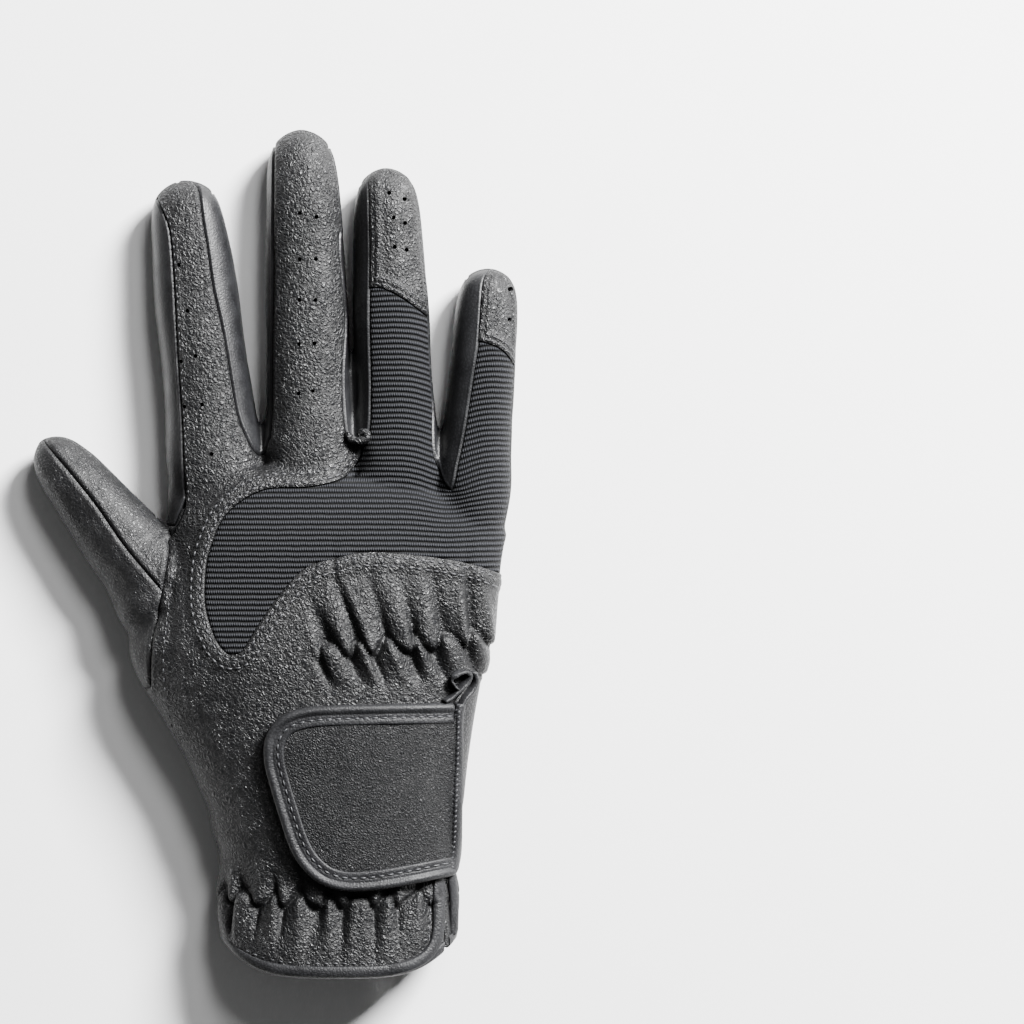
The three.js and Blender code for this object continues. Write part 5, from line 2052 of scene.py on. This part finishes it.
@dataclass(frozen=True)
class VentEdge:
    """The bound edge of the vent: a stitched ridge beside the tab, turned in a loop at its top."""

    cord_pitch: float = 1.45
    cord_end: float = -67.5
    loop_thickness: float = 0.85
    flap_half: float = 1.5
    flap_sides: int = 16

    def build(self, glove: Glove, ground: Ground) -> Piece:
        """Builds the ridge and its loop.

        Args:
            glove: The glove's finishes.
            ground: The glove's outer surface.

        Returns:
            The piece.
        """
        sheet = Sheet()
        spots = (
            (33.9, -22.6), (33.1, -26.5), (32.8, -38.0), (32.3, -52.0), (31.7, -62.0),
            (30.9, -68.0), (30.1, -72.0),
        )
        line = curve_through(spots, 0.5)
        section = (
            (1.25, 0.0), (1.2, 1.6), (0.95, 2.7), (0.45, 3.1), (-0.1, 3.15), (-0.6, 2.9),
            (-1.0, 2.2), (-1.25, 1.1), (-1.3, 0.0),
        )
        points, faces = TapeBuild(section).lay(ground, line, 3.0)
        sheet.add(points, faces, 0)
        laid = self.cord(line[line[:, 1] > self.cord_end], Ground(points, faces), sheet)
        self.loop(sheet, ground)
        sheet.add(*self.flap(), 0)
        materials = glove.finishes.of(Coat.TAPE, Coat.THREAD)
        return dressed(sheet, "vent_binding", materials, laid)

    def flap(self) -> tuple[Array, Array]:
        """Builds the narrow flap that hangs on down the side of the cuff to a rounded end.

        Returns:
            Its points and triangles.
        """
        stations = [(31.3, -66.0, 16.4), (31.9, -71.0, 16.0), (32.4, -76.0, 15.2)]
        stations += [(32.5, -81.0, 14.9), (32.3, -86.6, 14.6)]
        middle = curve_through(np.array(stations), 0.4)
        way = np.gradient(middle, axis=0)
        way /= np.linalg.norm(way, axis=1, keepdims=True)
        out = np.array([0.66, 0.0, 0.75])
        aside = np.cross(way, out)
        aside /= np.linalg.norm(aside, axis=1, keepdims=True)
        half = self.flap_half
        end = np.clip(np.linalg.norm(middle - middle[-1], axis=1) / half, 0.02, 1)
        size = np.sqrt(np.clip(1 - (1 - end) ** 2, 0, 1))[:, None]
        rows = []
        for turn in np.linspace(0, 2 * math.pi, self.flap_sides, endpoint=False):
            sideways = aside * half * math.cos(turn) * size
            rows.append(middle + sideways + out * (0.5 + 0.8 * math.sin(turn)))
        return np.vstack(rows), wrapped(self.flap_sides, len(middle))

    def cord(self, line: Array, ground: Ground, sheet: Sheet) -> int:
        """Sews slanting stitches over the ridge, so that it looks like a twisted cord.

        Args:
            line: The ridge's middle line.
            ground: The ridge's surface.
            sheet: The piece that gets the stitches.

        Returns:
            How many stitches were sewn.
        """
        laid = 0
        for spot in spaced(line, self.cord_pitch):
            slant = np.array([spot + (-0.15, -0.55), spot + (0.95, 0.5)])
            row = StitchRow(slant, pitch=9.0, length=1.3, thickness=0.24)
            laid += row.sew(ground, sheet, 1)
        return laid

    def loop(self, sheet: Sheet, ground: Ground) -> None:
        """Adds the loop: a tape standing on its edge, turned round a narrow eye.

        Args:
            sheet: The piece that gets the loop.
            ground: The glove's outer surface.
        """
        spots = (
            (29.6, -21.9), (31.6, -20.6), (33.6, -18.6), (35.2, -16.6), (35.9, -14.9),
            (35.6, -13.9), (34.6, -13.6), (33.1, -14.2), (32.3, -15.5), (32.4, -17.3),
            (33.2, -18.6),
        )
        outside = (
            (37.0, -13.9), (37.5, -16.0), (36.8, -18.6), (35.0, -21.0), (33.9, -23.4),
            (33.6, -26.0),
        )
        pitch = 0.4
        inner = curve_through(spots[2:], pitch)
        path = np.vstack([curve_through(spots[:7], pitch), inner[12:]])
        half = self.loop_thickness / 2
        for line, tall in ((path, 2.9), (curve_through(outside, pitch), 2.7)):
            foot, shoulder = 0.2, tall - 0.3
            section = ((half, foot), (half, shoulder), (0.5 * half, tall))
            section += ((-0.5 * half, tall), (-half, shoulder), (-half, foot))
            sheet.add(*TapeBuild(section).lay(ground, spaced(line, pitch)), 0)


@dataclass(frozen=True)
class HemBinding:
    """The folded tape round the cuff's hem and up the vent's edge on the back."""

    width: float = 3.0
    outside: float = 0.55
    inside: float = 1.75
    around: int = 1440
    stitch_height: float = 3.75

    def build(self, glove: Glove, ground: Ground) -> Piece:
        """Builds the tape round the hem and up the vent.

        Args:
            glove: The glove's finishes.
            ground: The glove's outer surface.

        Returns:
            The piece.
        """
        sheet = Sheet()
        path, out, up = self.route()
        sheet.add(*self.fold(path, out, up), 0)
        rise = curve_through(
            (
                (28.5, -70.4), (28.5, -78.0), (28.3, -84.6), (27.3, -88.6), (24.6, -91.9),
                (20.6, -93.9), (15.0, -95.1), (9.0, -95.7),
            ),
            0.4,
        )
        section = ((1.5, 0.0), (1.48, 0.6), (1.15, 1.0), (0.0, 1.12))
        section += ((-1.15, 1.0), (-1.48, 0.6), (-1.5, 0.0))
        sheet.add(*TapeBuild(section).lay(ground, rise, 12.0), 0)
        seam = path + up * self.stitch_height
        thread = StitchRow(seam, thickness=0.25)
        starts = range(2, len(path) - 4, 5)
        for start in starts:
            a, b = seam[start], seam[start + 3]
            way = b - a
            span = float(np.linalg.norm(way))
            centre = (a + b) / 2 + out[start] * 0.12
            sheet.add(*thread.stitch(centre, way / span, out[start], span), 1)
        materials = glove.finishes.of(Coat.TAPE, Coat.THREAD)
        return dressed(sheet, "hem_binding", materials, len(starts))

    def route(self) -> tuple[Array, Array, Array]:
        """Works out the way of the tape.

        Returns:
            The hem's points, the way out of the leather and the way up the hand at each.
        """
        shape = HandShape(around=self.around)
        ring, inner_ring = shape.section(0.0), shape.section(0.35)
        middle = ring[:, [0, 2]].mean(axis=0)
        start = int(np.argmin(np.where(ring[:, 2] > 14, np.abs(ring[:, 0] - 29.7), FAR)))
        stop = int(np.argmin(np.where(ring[:, 2] > 9, np.abs(ring[:, 0] - 30.9), FAR)))
        order = np.arange(start, stop + self.around if stop <= start else stop) % self.around
        hem, inner = spaced(ring[order], 0.5), spaced(inner_ring[order], 0.5)
        count = min(len(hem), len(inner))
        hem, inner = hem[:count], inner[:count]
        up = inner - hem
        up /= np.linalg.norm(up, axis=1, keepdims=True)
        way = np.gradient(hem, axis=0)
        way /= np.linalg.norm(way, axis=1, keepdims=True)
        out = np.cross(way, up)
        outward = hem - (middle[0], 0.0, middle[1])
        outward[:, 1] = 0.0
        out *= np.sign((out * outward).sum(axis=1, keepdims=True))
        return hem, out, up

    def fold(self, path: Array, out: Array, up: Array) -> tuple[Array, Array]:
        """Folds the tape over the edge along its way.

        Args:
            path: The hem's points.
            out: The way out of the leather at each.
            up: The way up the hand at each.

        Returns:
            The tape's points and triangles.
        """
        w, o, i = self.width, self.outside, self.inside
        section = [(o - 0.3, w + 0.05), (o, w - 0.15), (o + 0.12, w * 0.6), (o + 0.05, 0.6)]
        section += [(o * 0.4, -0.05), (-0.6, -0.45), (-i + 0.3, -0.2), (-i - 0.1, 0.5)]
        section += [(-i, w - 0.2), (-i + 0.5, w), (-i + 0.6, w * 0.5), (-0.6, 0.5)]
        section += [(o - 0.4, w * 0.5)]
        rows = [path + out * a + up * b for a, b in section]
        return np.vstack(rows), wrapped(len(rows), len(path))


class Studio:
    """The pale floor, the soft lights and the camera over the glove."""

    centre: tuple[float, float] = (48.7, 29.7)
    frame_width: float = 281.6
    lens: float = 135.0
    sensor: float = 36.0
    crown: float = 15.0
    floor_half: float = 4.0
    pale: tuple[Colour, Colour] = ((0.935, 0.935, 0.935), (0.95, 0.95, 0.95))
    world_strength: float = 0.1
    aim: tuple[float, float, float] = (0.0, 0.02, 0.0)

    def build(self) -> None:
        """Sets up the whole studio."""
        self.floor()
        self.lights()
        self.camera()

    def floor(self) -> None:
        """Lays the floor."""
        mesh = bpy.data.meshes.new("floor")
        half = self.floor_half
        corners = [(-half, -half, 0), (half, -half, 0), (half, half, 0), (-half, half, 0)]
        mesh.from_pydata(corners, [], [(0, 1, 2, 3)])
        bench = NodeBench("floor_paper")
        tone = bench.ramp(bench.noise(bench.place(), 60.0, 2.0).outputs[0], 0.3, 0.7, 0.0, 1.0)
        bench.link(bench.blend(tone, *self.pale), bench.shader.inputs["Base Color"])
        bench.set(Roughness=0.9, Specular_IOR_Level=0.1)
        mesh.materials.append(bench.material)
        floor = bpy.data.objects.new("floor", mesh)
        bpy.context.scene.collection.objects.link(floor)

    def lights(self) -> None:
        """Hangs the lights."""
        world = bpy.data.worlds.new("studio")
        world.use_nodes = True
        background = world.node_tree.nodes["Background"]
        background.inputs["Color"].default_value = (1.0, 1.0, 1.0, 1.0)
        background.inputs["Strength"].default_value = self.world_strength
        bpy.context.scene.world = world
        self.softbox("key_light", (0.82, 0.85, 0.78), 0.42, 160.0)
        self.softbox("top_light", (0.4, 0.85, 1.15), 0.3, 9.0)

    def softbox(
        self, name: str, place: tuple[float, float, float], size: float, power: float
    ) -> None:
        """Hangs one square softbox that faces the glove.

        Args:
            name: The light's name.
            place: Where it hangs, in metres.
            size: Its side.
            power: Its power in watts.
        """
        lamp = bpy.data.lights.new(name, "AREA")
        lamp.size = size
        lamp.energy = power
        light = bpy.data.objects.new(name, lamp)
        light.location = place
        way = Vector(self.aim) - Vector(place)
        light.rotation_euler = way.to_track_quat("-Z", "Y").to_euler()
        bpy.context.scene.collection.objects.link(light)

    def camera(self) -> None:
        """Hangs the camera straight over the glove."""
        data = bpy.data.cameras.new("camera")
        data.lens = self.lens
        data.sensor_width = self.sensor
        data.clip_end = 20.0
        camera = bpy.data.objects.new("camera", data)
        distance = self.frame_width * self.lens / self.sensor
        camera.location = tuple(MILLIMETRE * v for v in (*self.centre, distance + self.crown))
        bpy.context.scene.collection.objects.link(camera)
        bpy.context.scene.camera = camera


def seam_rows() -> dict[str, tuple[StitchRow, ...]]:
    """Lists the rows of stitches on each panel.

    Returns:
        The rows by the panel's name.
    """
    inset = curve_through(INSET_LINE)
    left = curve_through(INDEX_LEFT_SEAM[2:8])
    thumb = ((-44.6, 12.0), (-45.6, 0.0), (-46.6, -12.0), (-45.6, -24.0), (-43.6, -34.0))
    cuff = ((26.4, -72.5), (26.3, -80.0), (26.0, -86.5))
    patch = curve_through(THUMB_PATCH_SEAM[:-1])
    ring = curve_through(RING_CAP_EDGE)
    little = curve_through(LITTLE_CAP_EDGE)
    fine = {"pitch": 1.9, "length": 1.4, "thickness": 0.2}
    return {
        "back_leather": (
            StitchRow(beside(inset, 1.3), thickness=0.3),
            StitchRow(beside(inset, 3.75), thickness=0.3),
            StitchRow(curve_through(cuff), pitch=2.4),
            StitchRow(beside(left, 0.9), pitch=2.2, length=1.2, thickness=0.2),
            StitchRow(curve_through(thumb), pitch=2.6, length=1.5, thickness=0.2),
        ),
        "ring_tip": tuple(StitchRow(beside(ring, aside), **fine) for aside in (-0.9, -2.6)),
        "little_tip": tuple(StitchRow(beside(little, aside), **fine) for aside in (-0.9, -2.2)),
        "palm_leather": tuple(
            StitchRow(beside(patch, aside), Face.PALM, pitch=2.3, length=1.6, thickness=0.22)
            for aside in (-1.3, -3.2)
        ),
    }


def panels() -> list[Panel]:
    """Lists the glove's panels in the order in which they are built.

    Returns:
        The panels.
    """
    rows = seam_rows()
    back = SeamEdge(groove=0.4, bead=0.16, lap=0.6, lap_width=4.6)
    cap = SeamEdge(groove=0.3, bead=0.1, lap=0.4, lap_width=3.4)
    palm = SeamEdge(groove=0.35, bead=0.12, lap=0.3, lap_width=4.2)
    strip = SeamEdge(groove=0.4, bead=0.0, welt=0.16)
    made = [
        Panel(
            "back_leather", Slot.GRAIN, Coat.BACK, back, "stretch_panel", rows["back_leather"],
            curl=Curl(),
        ),
        Panel("stretch_panel", Slot.RIBBED, Coat.RIBBED, SeamEdge(0.3, 0.0), under=0.1),
    ]
    for name in ("ring_tip", "little_tip"):
        made.append(Panel(name, Slot.GRAIN, Coat.BACK, cap, "stretch_panel", rows[name]))
    made += [
        Panel("palm_leather", Slot.GRAIN, Coat.PALM, palm, "thumb_front", rows["palm_leather"]),
        Panel("thumb_front", Slot.GRAIN, Coat.PALM, SeamEdge(0.35, 0.12)),
        Panel("thumb_back", Slot.GRAIN, Coat.PALM, SeamEdge(0.45, 0.2)),
        Panel("index_side", Slot.SMOOTH, Coat.STRIP, strip),
    ]
    for left, right in zip(FINGERS, FINGERS[1:]):
        name = f"fourchette_{left.name}_{right.name}"
        made.append(Panel(name, Slot.SMOOTH, Coat.STRIP, strip))
    return made


def main() -> None:
    """Builds the glove piece by piece and the studio round it."""
    logging.basicConfig(level=logging.INFO, format="%(name)s: %(message)s")
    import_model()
    glove = Glove()
    for panel in panels():
        panel.build(glove)
    crown = glove.skin.points[:, 2] > SIZES.seam_height
    crown_faces = glove.skin.faces[crown[glove.skin.faces].all(axis=1)]
    WristTab().build(glove, Ground(glove.skin.points, crown_faces))
    ground = Ground(glove.skin.points + glove.skin.normals * glove.relief[:, None], crown_faces)
    VentEdge().build(glove, ground)
    HemBinding().build(glove, ground)
    Studio().build()


if __name__ == "__main__":
    main()
